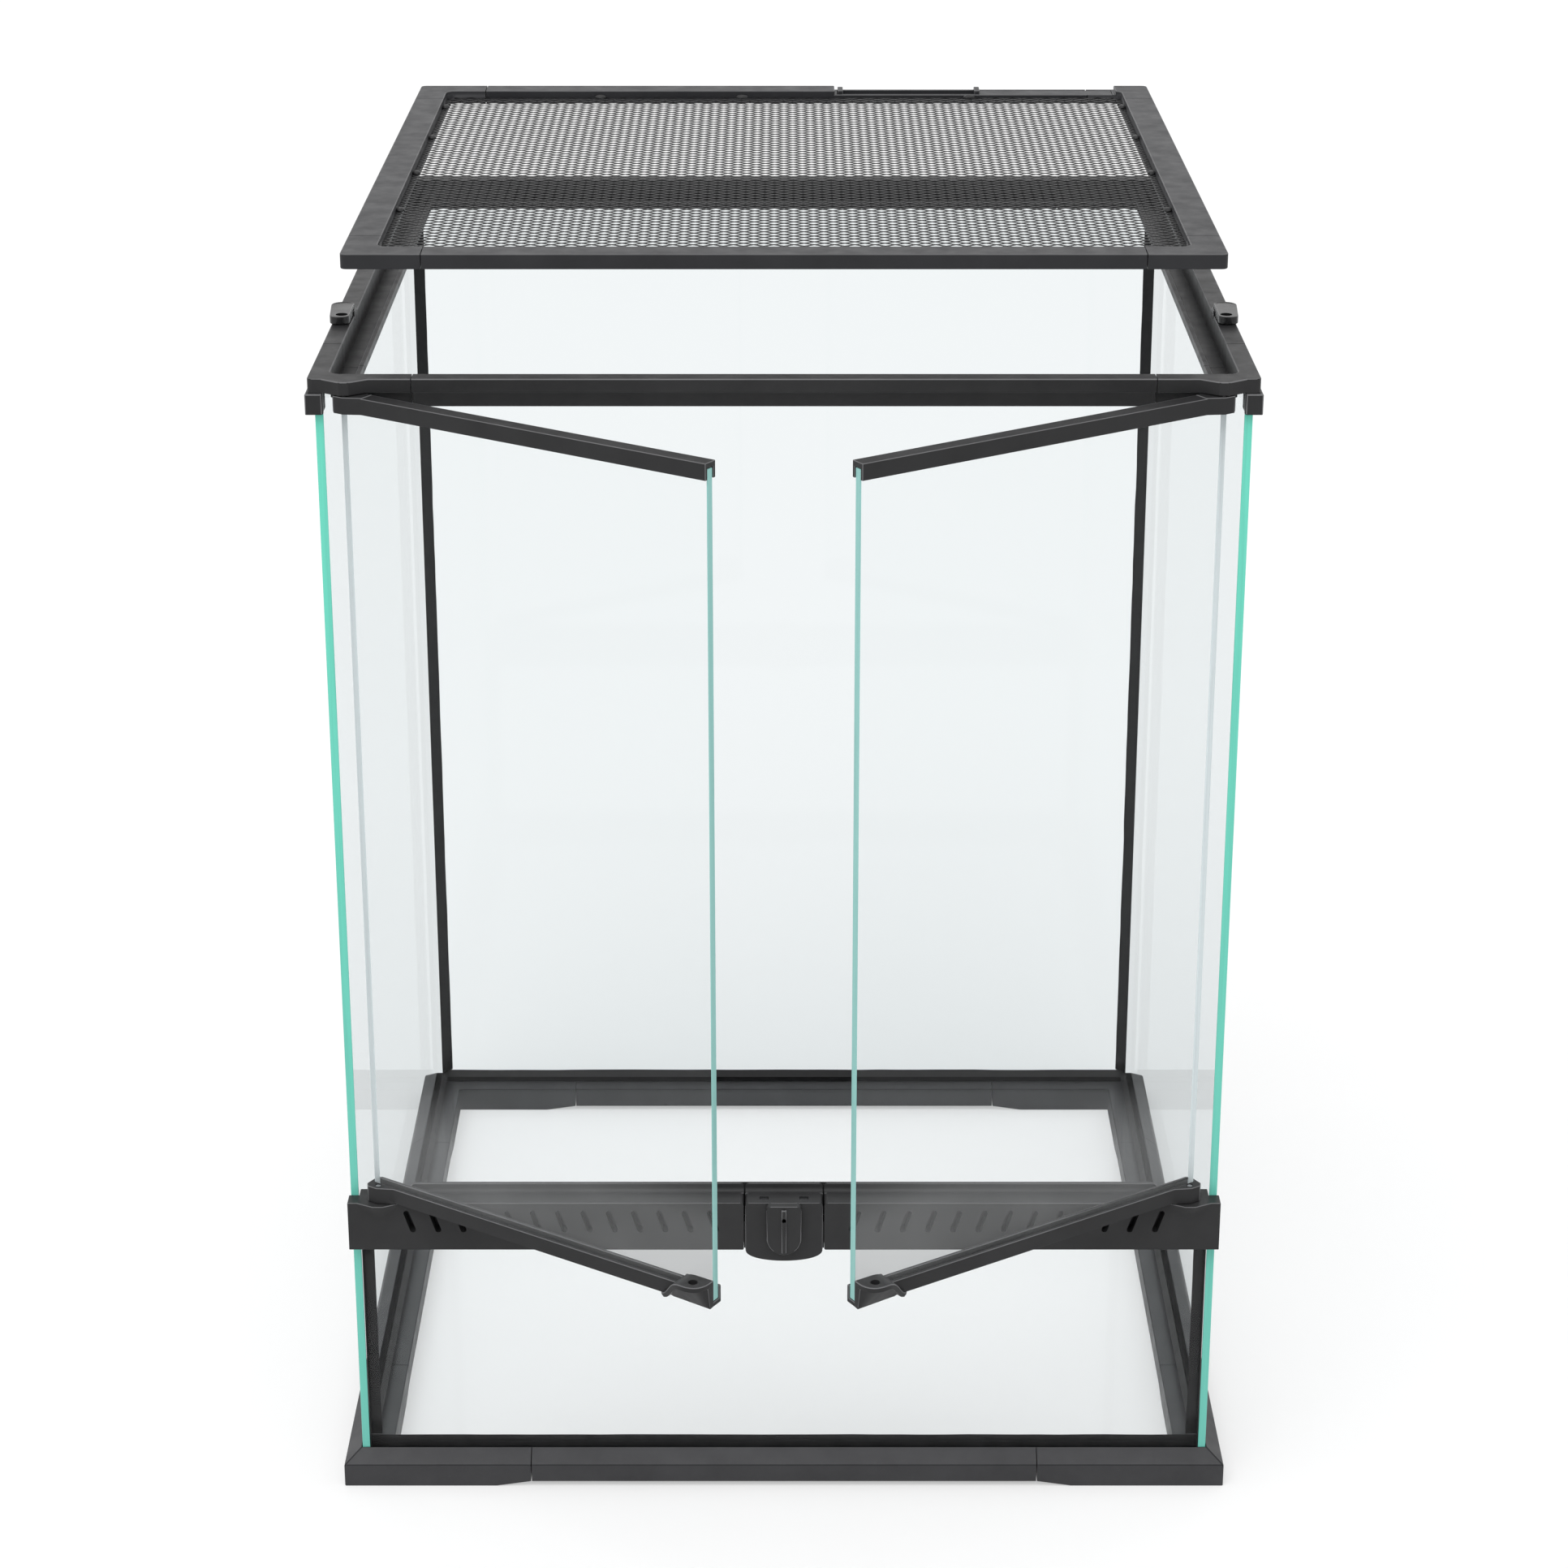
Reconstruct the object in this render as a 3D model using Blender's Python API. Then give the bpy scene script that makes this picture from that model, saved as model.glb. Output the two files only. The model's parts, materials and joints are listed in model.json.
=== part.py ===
"""Front-opening glass terrarium with a screen lid, shown with its doors open and its lid lifted.

Lengths are metres and +Z is up. The tank's own centre is the middle of the glass box, and every
object hangs from the empty named tank, which carries that centre back by half of the open doors'
reach, so that the whole object stands centred on the origin.
"""

import math

import bmesh
import bpy
from mathutils import Matrix, Vector

# Glass box
GLASS_WIDTH = 0.444
GLASS_DEPTH = 0.444
PANE = 0.004
FIT = 0.0003  # gap between pieces that touch

# Base frame
BASE_LIP = 0.009  # how far the base stands out past the glass
BASE_FACE = 0.0125  # height of its upright face
BASE_TOP = 0.0187  # height of its sloped top
BASE_INNER = 0.0112  # width of the shelf under the floor
BASE_WALL = 0.0024
FOOT_RISE = 0.0027  # the straight rails stay this far off the ground
FOOT_RAMP = 0.018
BASE_LEG = 0.098
GROOVE_FLOOR = 0.006
SHELF_HEIGHT = 0.0147
SEAL = 0.006
BEAD = 0.004

# Top frame
TOP_HEIGHT = 0.600
TOP_LIP = 0.003
TOP_RIM = 0.0096  # width of the flat top face
TOP_FACE = 0.0068  # height of the front face over the doors
TOP_SKIRT = 0.0175  # height of the rails that hold glass
TOP_GROOVE_ROOF = 0.0045
TOP_STOP = 0.0150  # depth of the lip that the doors close against
STOP_STEP = 0.0056  # that lip behind the face
LEDGE_DROP = 0.012
LEDGE_REACH = 0.0104
LEDGE_PLATE = 0.0028
LEDGE_LIP = 0.001
LEDGE_LIP_WIDTH = 0.0028
TOP_FRONT_LEG = 0.049
TOP_SIDE_LEG = 0.065
OUTER_ROUND = 0.0025
INNER_ROUND = 0.005

# Vent strip under the doors
STRIP_TOP = 0.1715
STRIP_HEIGHT = 0.031
STRIP_PROUD = 0.0092  # how far it stands in front of the panes
STRIP_OVERHANG = 0.001  # how far its ends pass the panes
STRIP_BACK = 0.0022
STRIP_GLASS = 0.008  # how deep it takes the low pane
STRIP_COVE = 0.0022
STRIP_SHELF_DROP = 0.0042  # shelf in front of its upstand, below the top
UPSTAND_HALF = 0.192  # the upstand stops short of the hinges
STRIP_RECESS = 0.0073  # how deep it takes the lock
SLOT_COUNT = 13  # on each half
SLOT_FIRST = 0.0364
SLOT_PITCH = 0.01292
SLOT_LENGTH = 0.0118
SLOT_WIDTH = 0.003
SLOT_LEAN = math.radians(18.5)
SLOT_DROP = 0.0148  # slot centres below the strip's top

# Doors
HINGE_INSET = 0.015  # pin axis in from the outer face of the side pane
HINGE_SET = 0.0065  # pin axis in front of the panes' edges
DOOR_OPEN = math.radians(33)
DOOR_GAP = 0.004  # between the two doors when they are shut
DOOR_TOP_GAP = 0.0006
DOOR_BOTTOM_GAP = 0.001
RAIL_HEIGHT = 0.008
RAIL_WEB = 0.0027
RAIL_FRONT = 0.0005  # rail's front face behind the pin axis
RAIL_THICK = 0.008
HINGE_BACK = 0.0062  # block past the pin, towards the pane
HINGE_FORE = 0.0098
HINGE_BOSS = 0.0035
HINGE_TAPER = 0.0015  # where its front starts to slope back to the rail
HINGE_CHAMFER = 0.0022
HINGE_WALL = 0.0014  # block past the edge of the door's glass
PIN = 0.00125
PIN_DEPTH = 0.0055
LUG_HALF = 0.0111
LUG_TIP = 0.0022
LUG_PROUD = 0.006
LOW_LUG_HALF = 0.0112
LOW_LUG_TIP = 0.0026
LOW_LUG_PROUD = 0.0043
LOW_LUG_RIM = 0.0013
LOW_LUG_HEIGHT = 0.0085

# Door handles
HANDLE_LENGTH = 0.020
HANDLE_PROUD = 0.0110
HANDLE_HEIGHT = 0.0145
HANDLE_WALL = 0.0018
HANDLE_CHAMFER = 0.0036
HANDLE_ROOT = 0.0054  # solid end towards the rail
HANDLE_PLATE = 0.0026
HANDLE_FOOT = 0.0015  # its lower edge in front of the rail
HANDLE_FOOT_CHAMFER = 0.0008
PEG_SLOT_FRONT = 0.0016
PEG_SLOT_BACK = 0.0043
HANDLE_BACK_HEIGHT = 0.0095
HANDLE_RIB = 0.008
LOCK_HOLE = 0.0025
LOCK_HOLE_INSET = 0.008
LOCK_HOLE_SET = 0.0042  # in front of the pin axis
LOCK_HOLE_DEEP = 0.0045

# Lock
HOUSING_HALF = 0.0198
HOUSING_DEEP = 0.007
HOUSING_SIDE = 0.001  # gap on each side of it
HOUSING_DROP = 0.0065  # its rounded bottom below the strip
HOUSING_BULGE = 0.0075
HOUSING_WALL = 0.0017
HOUSING_ROOF = 0.002
KNOB_HALF = 0.0089
KNOB_RISE = 0.0135
KNOB_FALL = 0.0140
KNOB_SHOULDER = 0.0047  # where it starts to taper, below its axis
KNOB_TIP = 0.0036
KNOB_THICK = 0.0050
KNOB_CHAMFER = 0.0025
KNOB_DROP = 0.0173  # its axis below the strip's top
RIDGE_HALF = 0.0013
RIDGE_PROUD = 0.002
SPINDLE = 0.003
CRANK = 0.0056
CRANK_THICK = 0.0012
CRANK_THROW = 0.004
CRANK_PIN = 0.0012
CRANK_PLAY = 0.001
BAR_HALF = 0.0140
BAR_THICK = 0.0021
BAR_LOW = 0.011  # below the knob's axis
BAR_HIGH = 0.0066
PEG_HALF = 0.002

# Lid
LID_GAP = 0.0064  # between the lid's edge and the rim round it
LID_HEIGHT = 0.0074
LID_RAISE = 0.0595
LID_RIM = 0.016
LID_LEG = 0.038
LID_FLANGE = 0.003
LID_SET = 0.0042  # flange below the rim's top
LID_FLANGE_THICK = 0.002
LID_ROUND = 0.003
SCREEN_THICK = 0.0008
SCREEN_EDGE = 0.0005
STRAND = 0.0008  # half of a strand's width
MESH_WIDE = 0.048
MESH_HIGH = 0.028

# Cable gates in the lid's back rail
NOTCH_INSET = 0.019  # its right end from the lid's corner
NOTCH_PLAY = 0.003  # channel longer than the two gates
NOTCH_SEAM = 0.016  # how far the corner piece reaches past that end
NOTCH_DROP = 0.0022
NOTCH_WALL = 0.0015
GATE_THICK = 0.0014
GATE_LENGTH = 0.079
GATE_TAB = 0.0030
GATE_SEAT = 0.0175  # how far a shut gate laps past its window
GATE_WINDOW_DEPTH = 0.0080

# Lid latches on the side rails
LATCH_BACK = 0.107  # pivot behind the top frame's front
LATCH_REACH = 0.0245
LATCH_TAIL = 0.0065
LATCH_WIDE = 0.0134
LATCH_THICK = 0.0044
LATCH_END_THICK = 0.0036
LATCH_ROUND = 0.0035
LATCH_INSET = 0.0009  # plate's inner flank back from the rail's inner edge
LATCH_FOOT = 0.0047
LATCH_FOOT_START = 0.011
LATCH_FOOT_CLEAR = 0.0005  # foot above the seated lid
LATCH_BOLT = 0.0017
LATCH_BOLT_HEAD = 0.0027
LATCH_SINK = 0.0026  # how deep the bolt's head sits in the plate
LATCH_BOLT_DEPTH = 0.003  # how far it goes into the rail

# What follows from those sizes
HALF_W = GLASS_WIDTH / 2
HALF_D = GLASS_DEPTH / 2
INNER_W = HALF_W - PANE
INNER_D = HALF_D - PANE
BASE_W = HALF_W + BASE_LIP
BASE_D = HALF_D + BASE_LIP
TOP_W = HALF_W + TOP_LIP
TOP_D = HALF_D + TOP_LIP
LEDGE_IN = TOP_RIM + LEDGE_REACH
FLOOR_TOP = SHELF_HEIGHT + FIT + PANE
STRIP_LOW = STRIP_TOP - STRIP_HEIGHT
STRIP_FRONT = -HALF_D - STRIP_PROUD
LOW_PANE_TOP = STRIP_LOW + STRIP_GLASS - FIT
HINGE_Y = -HALF_D - HINGE_SET
HINGE_X = HALF_W - HINGE_INSET
DOOR_LENGTH = HINGE_X - DOOR_GAP / 2
SHELF = STRIP_TOP - STRIP_SHELF_DROP
DOOR_TOP = TOP_HEIGHT - TOP_FACE - DOOR_TOP_GAP
DOOR_BOTTOM = SHELF + DOOR_BOTTOM_GAP
GLASS_TIP = DOOR_LENGTH - FIT
DOOR_GLASS_FRONT = RAIL_FRONT + (RAIL_THICK - PANE) / 2
PIN_HOLE = PIN + FIT
HOUSING_FRONT = STRIP_FRONT
HOUSING_BACK = HOUSING_FRONT + HOUSING_DEEP
POCKET_FRONT = HOUSING_FRONT + HOUSING_WALL
KNOB_Z = STRIP_TOP - KNOB_DROP
LID_SEAT = TOP_HEIGHT - LEDGE_DROP + LEDGE_LIP + FIT
LID_W = TOP_W - TOP_RIM - LID_GAP
LID_D = TOP_D - TOP_RIM - LID_GAP
PEG_X = DOOR_GAP / 2 + (HANDLE_LENGTH - HANDLE_ROOT + HANDLE_WALL) / 2
LATCH_X = TOP_W - TOP_RIM / 2
LATCH_Y = LATCH_BACK - TOP_D
GATE_WINDOW = GATE_LENGTH - 2 * GATE_SEAT
NOTCH_LENGTH = 2 * GATE_LENGTH + NOTCH_PLAY
DOOR_REACH = DOOR_LENGTH * math.sin(DOOR_OPEN) + (HANDLE_PROUD - RAIL_FRONT) * math.cos(DOOR_OPEN)
TANK_Y = (DOOR_REACH - HINGE_Y - BASE_D) / 2

LEFT, RIGHT = -1, 1
PLASTIC = (0.075, 0.075, 0.079)
LOOKS = {
    "base_plastic": (PLASTIC, 0.55, 0.0, 1.0),
    "frame_plastic": (PLASTIC, 0.5, 0.0, 1.0),
    "door_plastic": (PLASTIC, 0.5, 0.0, 1.0),
    "lid_plastic": ((0.068, 0.068, 0.072), 0.5, 0.0, 1.0),
    "lock_plastic": ((0.045, 0.045, 0.048), 0.45, 0.0, 1.0),
    "silicone": ((0.013, 0.013, 0.013), 0.6, 0.0, 1.0),
    "pane_glass": ((0.85, 0.93, 0.93), 0.03, 0.0, 0.35),
    "screen_metal": ((0.02, 0.02, 0.022), 0.45, 0.6, 1.0),
    "steel": ((0.55, 0.55, 0.56), 0.3, 1.0, 1.0),
}


def clear_scene():
    for obj in list(bpy.data.objects):
        bpy.data.objects.remove(obj, do_unlink=True)


def collection(name):
    made = bpy.data.collections.new(name)
    bpy.context.scene.collection.children.link(made)
    return made


def material(name):
    colour, roughness, metallic, alpha = LOOKS[name]
    made = bpy.data.materials.get(name) or bpy.data.materials.new(name)
    made.use_nodes = True
    shader = made.node_tree.nodes["Principled BSDF"]
    shader.inputs["Base Color"].default_value = (*colour, 1.0)
    shader.inputs["Roughness"].default_value = roughness
    shader.inputs["Metallic"].default_value = metallic
    shader.inputs["Alpha"].default_value = alpha
    return made


def empty(name, location, turn=0.0, parent=None):
    """A bare axis that pieces hang from, turned about Z."""
    made = bpy.data.objects.new(name, None)
    made.location = location
    made.rotation_euler = (0, 0, turn)
    made.parent = parent
    PIECES.objects.link(made)
    return made


def extruded(outline, place, run):
    """A closed flat outline, put in space by place(u, v) and pulled along the vector run."""
    bm = bmesh.new()
    face = bm.faces.new([bm.verts.new(place(u, v)) for u, v in outline])
    grown = bmesh.ops.extrude_face_region(bm, geom=[face])
    moved = [item for item in grown["geom"] if isinstance(item, bmesh.types.BMVert)]
    bmesh.ops.translate(bm, vec=run, verts=moved)
    bmesh.ops.recalc_face_normals(bm, faces=bm.faces)
    return bm


def plan(outline, low, high):
    """An outline in plan, from one height up to another."""
    return extruded(outline, lambda x, y: (x, y, low), (0, 0, high - low))


def section(outline, start, end):
    """A rail along X: the outline gives depth inwards and height."""
    return extruded(outline, lambda d, z: (start, d, z), (end - start, 0, 0))


def front_view(outline, near, far):
    """An outline seen from the front, in x and z, from one depth back to another."""
    return extruded(outline, lambda x, z: (x, near, z), (0, far - near, 0))


def box(low, high):
    bm = bmesh.new()
    size = Vector(high) - Vector(low)
    middle = (Vector(high) + Vector(low)) / 2
    bmesh.ops.create_cube(bm, size=1, matrix=Matrix.Translation(middle) @ Matrix.Diagonal((*size, 1)))
    return bm


def rod(radius, low, high, centre=(0, 0), along="Z", sides=20):
    """A round bar along Z or along Y; centre is its place across that axis."""
    bm = bmesh.new()
    middle = (low + high) / 2
    if along == "Z":
        place = Matrix.Translation((centre[0], centre[1], middle))
    else:
        place = Matrix.Translation((centre[0], middle, centre[1])) @ Matrix.Rotation(math.pi / 2, 4, "X")
    bmesh.ops.create_cone(
        bm, cap_ends=True, segments=sides, radius1=radius, radius2=radius, depth=high - low, matrix=place
    )
    return bm


def merged(parts):
    """Several shapes as one cutter."""
    whole = bmesh.new()
    for part in parts:
        spare = bpy.data.meshes.new("spare")
        part.to_mesh(spare)
        part.free()
        whole.from_mesh(spare)
        bpy.data.meshes.remove(spare)
    return whole


def mirrored(bm, hand):
    """The shape as drawn for the left hand, or its mirror image for the right."""
    if hand == RIGHT:
        bmesh.ops.scale(bm, vec=(-1, 1, 1), verts=bm.verts)
        bmesh.ops.reverse_faces(bm, faces=bm.faces)
    return bm


def add(name, bm, look, parent, location=(0, 0, 0), turn=0.0, smooth=False):
    """A finished piece: its mesh, its material and its place under its parent."""
    mesh = bpy.data.meshes.new(name)
    bm.to_mesh(mesh)
    bm.free()
    if smooth:
        mesh.shade_smooth()
        mesh.set_sharp_from_angle(angle=math.radians(35))
    mesh.materials.append(material(look))
    made = bpy.data.objects.new(name, mesh)
    made.location = location
    made.rotation_euler = (0, 0, turn)
    made.parent = parent
    PIECES.objects.link(made)
    return made


def shape(piece, bm, operation):
    """Cuts a shape out of a piece, or joins one to it, both drawn in the piece's own axes."""
    name = f"{piece.name}_{operation.lower()}_{len(piece.modifiers)}"
    mesh = bpy.data.meshes.new(name)
    bm.to_mesh(mesh)
    bm.free()
    tool = bpy.data.objects.new(name, mesh)
    tool.location = piece.location
    tool.rotation_euler = piece.rotation_euler
    tool.parent = piece.parent
    tool.display_type = "WIRE"
    tool.hide_render = True
    CUTTERS.objects.link(tool)
    step = piece.modifiers.new(operation.lower(), "BOOLEAN")
    step.operation = operation
    step.solver = "EXACT"
    step.object = tool


def cut(piece, bm):
    shape(piece, bm, "DIFFERENCE")


def join(piece, bm):
    shape(piece, bm, "UNION")


def mitred(outline, leg_x, leg_y, rounds=()):
    """An L of one section round a corner at the origin, with legs along +X and +Y.

    rounds gives (depth, radius) for upright edges on the corner's diagonal that are rounded.
    """
    bm = section(outline, 0, leg_x)
    cap = [v for v in bm.verts if abs(v.co.x) < 1e-7]
    bmesh.ops.delete(bm, geom=[f for f in bm.faces if all(v in cap for v in f.verts)], context="FACES_ONLY")
    for vert in cap:
        vert.co.x = vert.co.y
    first = list(bm.verts) + list(bm.edges) + list(bm.faces)
    copy = bmesh.ops.duplicate(bm, geom=first)["geom"]
    swapped = [item for item in copy if isinstance(item, bmesh.types.BMVert)]
    for vert in swapped:
        far = abs(vert.co.x - leg_x) < 1e-6
        vert.co.x, vert.co.y = vert.co.y, (leg_y if far else vert.co.x)
    bmesh.ops.remove_doubles(bm, verts=bm.verts, dist=1e-6)
    bmesh.ops.recalc_face_normals(bm, faces=bm.faces)
    bmesh.ops.dissolve_limit(bm, angle_limit=math.radians(0.5), verts=bm.verts, edges=bm.edges)
    for depth, radius in rounds:
        upright = []
        for edge in bm.edges:
            a, b = (v.co for v in edge.verts)
            same = (a.xy - b.xy).length < 1e-6
            if same and abs(a.x - depth) < 1e-6 and abs(a.y - depth) < 1e-6:
                upright.append(edge)
        bmesh.ops.bevel(
            bm, geom=upright, offset=radius, segments=4, profile=0.5, affect="EDGES", material=-1
        )
    return bm


def around(name, half_w, half_d):
    """Where each side and corner of a four-sided frame stands: name, location and turn."""
    quarter = math.pi / 2
    spots = {
        "front": ((0, -half_d), 0),
        "right": ((half_w, 0), quarter),
        "back": ((0, half_d), 2 * quarter),
        "left": ((-half_w, 0), 3 * quarter),
        "front_left": ((-half_w, -half_d), 0),
        "front_right": ((half_w, -half_d), quarter),
        "back_right": ((half_w, half_d), 2 * quarter),
        "back_left": ((-half_w, half_d), 3 * quarter),
    }
    (x, y), turn = spots[name]
    return (x, y, 0), turn


def legs(corner, across, along):
    """A corner's two leg lengths in its own X and Y: across runs with the front or back rail."""
    return (across, along) if corner in ("front_left", "back_right") else (along, across)


CORNERS = ("front_left", "front_right", "back_right", "back_left")
SIDES = ("front", "right", "back", "left")


def base_frame(tank):
    """Sloped rails on four feet, grooved for the panes and shelved for the floor."""
    groove_out = BASE_LIP - FIT
    groove_in = BASE_LIP + PANE + FIT
    inner = groove_in + BASE_INNER
    top = [
        (0, BASE_FACE),
        (groove_out, BASE_TOP),
        (groove_out, GROOVE_FLOOR),
        (groove_in, GROOVE_FLOOR),
        (groove_in, SHELF_HEIGHT),
        (inner, SHELF_HEIGHT),
    ]
    hollow = [
        (inner, FOOT_RISE),
        (inner - BASE_WALL, FOOT_RISE),
        (inner - BASE_WALL, SHELF_HEIGHT - BASE_WALL),
        (groove_in + BASE_WALL, SHELF_HEIGHT - BASE_WALL),
        (groove_in + BASE_WALL, GROOVE_FLOOR - BASE_WALL),
        (groove_out - BASE_WALL, GROOVE_FLOOR - BASE_WALL),
        (groove_out - BASE_WALL, BASE_FACE),
        (BASE_WALL, BASE_FACE - BASE_WALL),
        (BASE_WALL, FOOT_RISE),
        (0, FOOT_RISE),
    ]
    solid = [(0, 0), *top, (inner, 0)]
    for corner in CORNERS:
        place, turn = around(corner, BASE_W, BASE_D)
        bm = mitred(solid, BASE_LEG, BASE_LEG)
        for axis in (0, 1):
            ramp(bm, axis)
        add(f"base_corner_{corner}", bm, "base_plastic", tank, place, turn)
    for side in SIDES:
        place, turn = around(side, BASE_W, BASE_D)
        half = (BASE_W if side in ("front", "back") else BASE_D) - BASE_LEG - FIT
        add(f"base_rail_{side}", section(top + hollow, -half, half), "base_plastic", tank, place, turn)


def ramp(bm, axis):
    """Lifts the end of a foot's leg by a slope, so that it meets the raised rail."""
    start = Vector((0, 0, 0))
    start[axis] = BASE_LEG - FOOT_RAMP
    normal = Vector((0, 0, 0))
    normal[axis] = 1
    bmesh.ops.bisect_plane(
        bm, geom=list(bm.verts) + list(bm.edges) + list(bm.faces), plane_co=start, plane_no=normal
    )
    for vert in bm.verts:
        if abs(vert.co[axis] - BASE_LEG) < 1e-6 and abs(vert.co.z) < 1e-6:
            vert.co.z = FOOT_RISE


def panes(tank):
    """Floor, back and side panes, and the low pane under the doors."""
    foot = GROOVE_FLOOR + FIT
    head = TOP_HEIGHT - TOP_GROOVE_ROOF - FIT
    wide = INNER_W - FIT
    floor = box((-wide, FIT - INNER_D, SHELF_HEIGHT + FIT), (wide, INNER_D - FIT, FLOOR_TOP))
    add("floor_glass", floor, "pane_glass", tank)
    add("back_glass", box((-wide, INNER_D, foot), (wide, HALF_D, head)), "pane_glass", tank)
    low_pane = box((-wide, -HALF_D, foot), (wide, -INNER_D, LOW_PANE_TOP))
    add("front_lower_glass", low_pane, "pane_glass", tank)
    for name, low in (("left_glass", -HALF_W), ("right_glass", INNER_W)):
        add(name, box((low, -HALF_D, foot), (low + PANE, HALF_D, head)), "pane_glass", tank)


def seals(tank):
    """Silicone in the upright corners, and a bead round the floor."""
    foot = FLOOR_TOP + FIT + BEAD + FIT
    heads = {"back": TOP_HEIGHT - TOP_SKIRT - FIT, "front": STRIP_LOW - FIT}
    for corner in CORNERS:
        place, turn = around(corner, INNER_W - FIT, INNER_D - FIT)
        fillet = plan([(0, 0), (SEAL, 0), (0, SEAL)], foot, heads[corner.split("_")[0]])
        add(f"seal_{corner}", fillet, "silicone", tank, place, turn)
    low = FLOOR_TOP + FIT
    bead = box((FIT - INNER_W, FIT - INNER_D, low), (INNER_W - FIT, INNER_D - FIT, low + BEAD))
    open_up(bead, BEAD)
    add("floor_seal", bead, "silicone", tank)


def open_up(bm, width):
    """Turns a slab into a ring with a sloped inner side: its foot is as wide as given, its top an edge."""
    caps = [f for f in bm.faces if abs(f.normal.z) > 0.9]
    bottom = min(caps, key=lambda f: f.calc_center_median().z)
    top = max(caps, key=lambda f: f.calc_center_median().z)
    bmesh.ops.inset_region(bm, faces=[bottom], thickness=width)
    bmesh.ops.delete(bm, geom=[top, bottom], context="FACES_ONLY")
    open_edges = [e for e in bm.edges if e.is_boundary]
    bmesh.ops.bridge_loops(bm, edges=open_edges)
    bmesh.ops.recalc_face_normals(bm, faces=bm.faces)


def top_section():
    """A top rail that holds a pane: flat rim, recess, ledge with a lip, and a grooved skirt."""
    groove_out = TOP_LIP - FIT
    groove_in = TOP_LIP + PANE + FIT
    return [
        (0, -TOP_SKIRT),
        (0, 0),
        (TOP_RIM, 0),
        (TOP_RIM, -LEDGE_DROP),
        (LEDGE_IN - LEDGE_LIP_WIDTH, -LEDGE_DROP),
        (LEDGE_IN - LEDGE_LIP_WIDTH, LEDGE_LIP - LEDGE_DROP),
        (LEDGE_IN, LEDGE_LIP - LEDGE_DROP),
        (LEDGE_IN, -LEDGE_DROP - LEDGE_PLATE),
        (TOP_RIM, -LEDGE_DROP - LEDGE_PLATE),
        (TOP_RIM, -TOP_SKIRT),
        (groove_in, -TOP_SKIRT),
        (groove_in, -TOP_GROOVE_ROOF),
        (groove_out, -TOP_GROOVE_ROOF),
        (groove_out, -TOP_SKIRT),
    ]


def front_top_section():
    """The rail over the doors: a face, and a lip set back under it that the doors close under."""
    return [
        (0, 0),
        (TOP_RIM, 0),
        (TOP_RIM, -LEDGE_DROP),
        (LEDGE_IN - LEDGE_LIP_WIDTH, -LEDGE_DROP),
        (LEDGE_IN - LEDGE_LIP_WIDTH, LEDGE_LIP - LEDGE_DROP),
        (LEDGE_IN, LEDGE_LIP - LEDGE_DROP),
        (LEDGE_IN, -LEDGE_DROP - LEDGE_PLATE),
        (TOP_RIM, -LEDGE_DROP - LEDGE_PLATE),
        (TOP_RIM - LEDGE_PLATE, -TOP_STOP),
        (STOP_STEP, -TOP_STOP),
        (STOP_STEP, -TOP_FACE),
        (0, -TOP_FACE),
    ]


def top_frame(tank):
    """Rails and corner pieces; the front corners carry the upper hinge lugs."""
    lift = Vector((0, 0, TOP_HEIGHT))
    rounds = ((0, OUTER_ROUND), (TOP_RIM, INNER_ROUND))
    for corner in CORNERS:
        place, turn = around(corner, TOP_W, TOP_D)
        front = corner.startswith("front")
        across = TOP_FRONT_LEG if front else TOP_SIDE_LEG
        leg_x, leg_y = legs(corner, across, TOP_SIDE_LEG)
        piece = add(f"top_corner_{corner}", mitred(top_section(), leg_x, leg_y, rounds), "frame_plastic",
                    tank, Vector(place) + lift, turn)
        if front:
            hinge_corner(piece, corner)
    for side in SIDES:
        place, turn = around(side, TOP_W, TOP_D)
        if side == "front":
            half = TOP_W - TOP_FRONT_LEG - FIT
            bm = section(front_top_section(), -half, half)
        else:
            half = (TOP_W if side == "back" else TOP_D) - TOP_SIDE_LEG - FIT
            bm = section(top_section(), -half, half)
        rail = add(f"top_rail_{side}", bm, "frame_plastic", tank, Vector(place) + lift, turn)
        if side in ("left", "right"):
            along = LATCH_Y if side == "right" else -LATCH_Y
            socket = (along, TOP_W - LATCH_X)
            cut(rail, rod(LATCH_BOLT + FIT, -LATCH_BOLT_DEPTH - FIT, LATCH_BOLT_DEPTH, socket))


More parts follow.
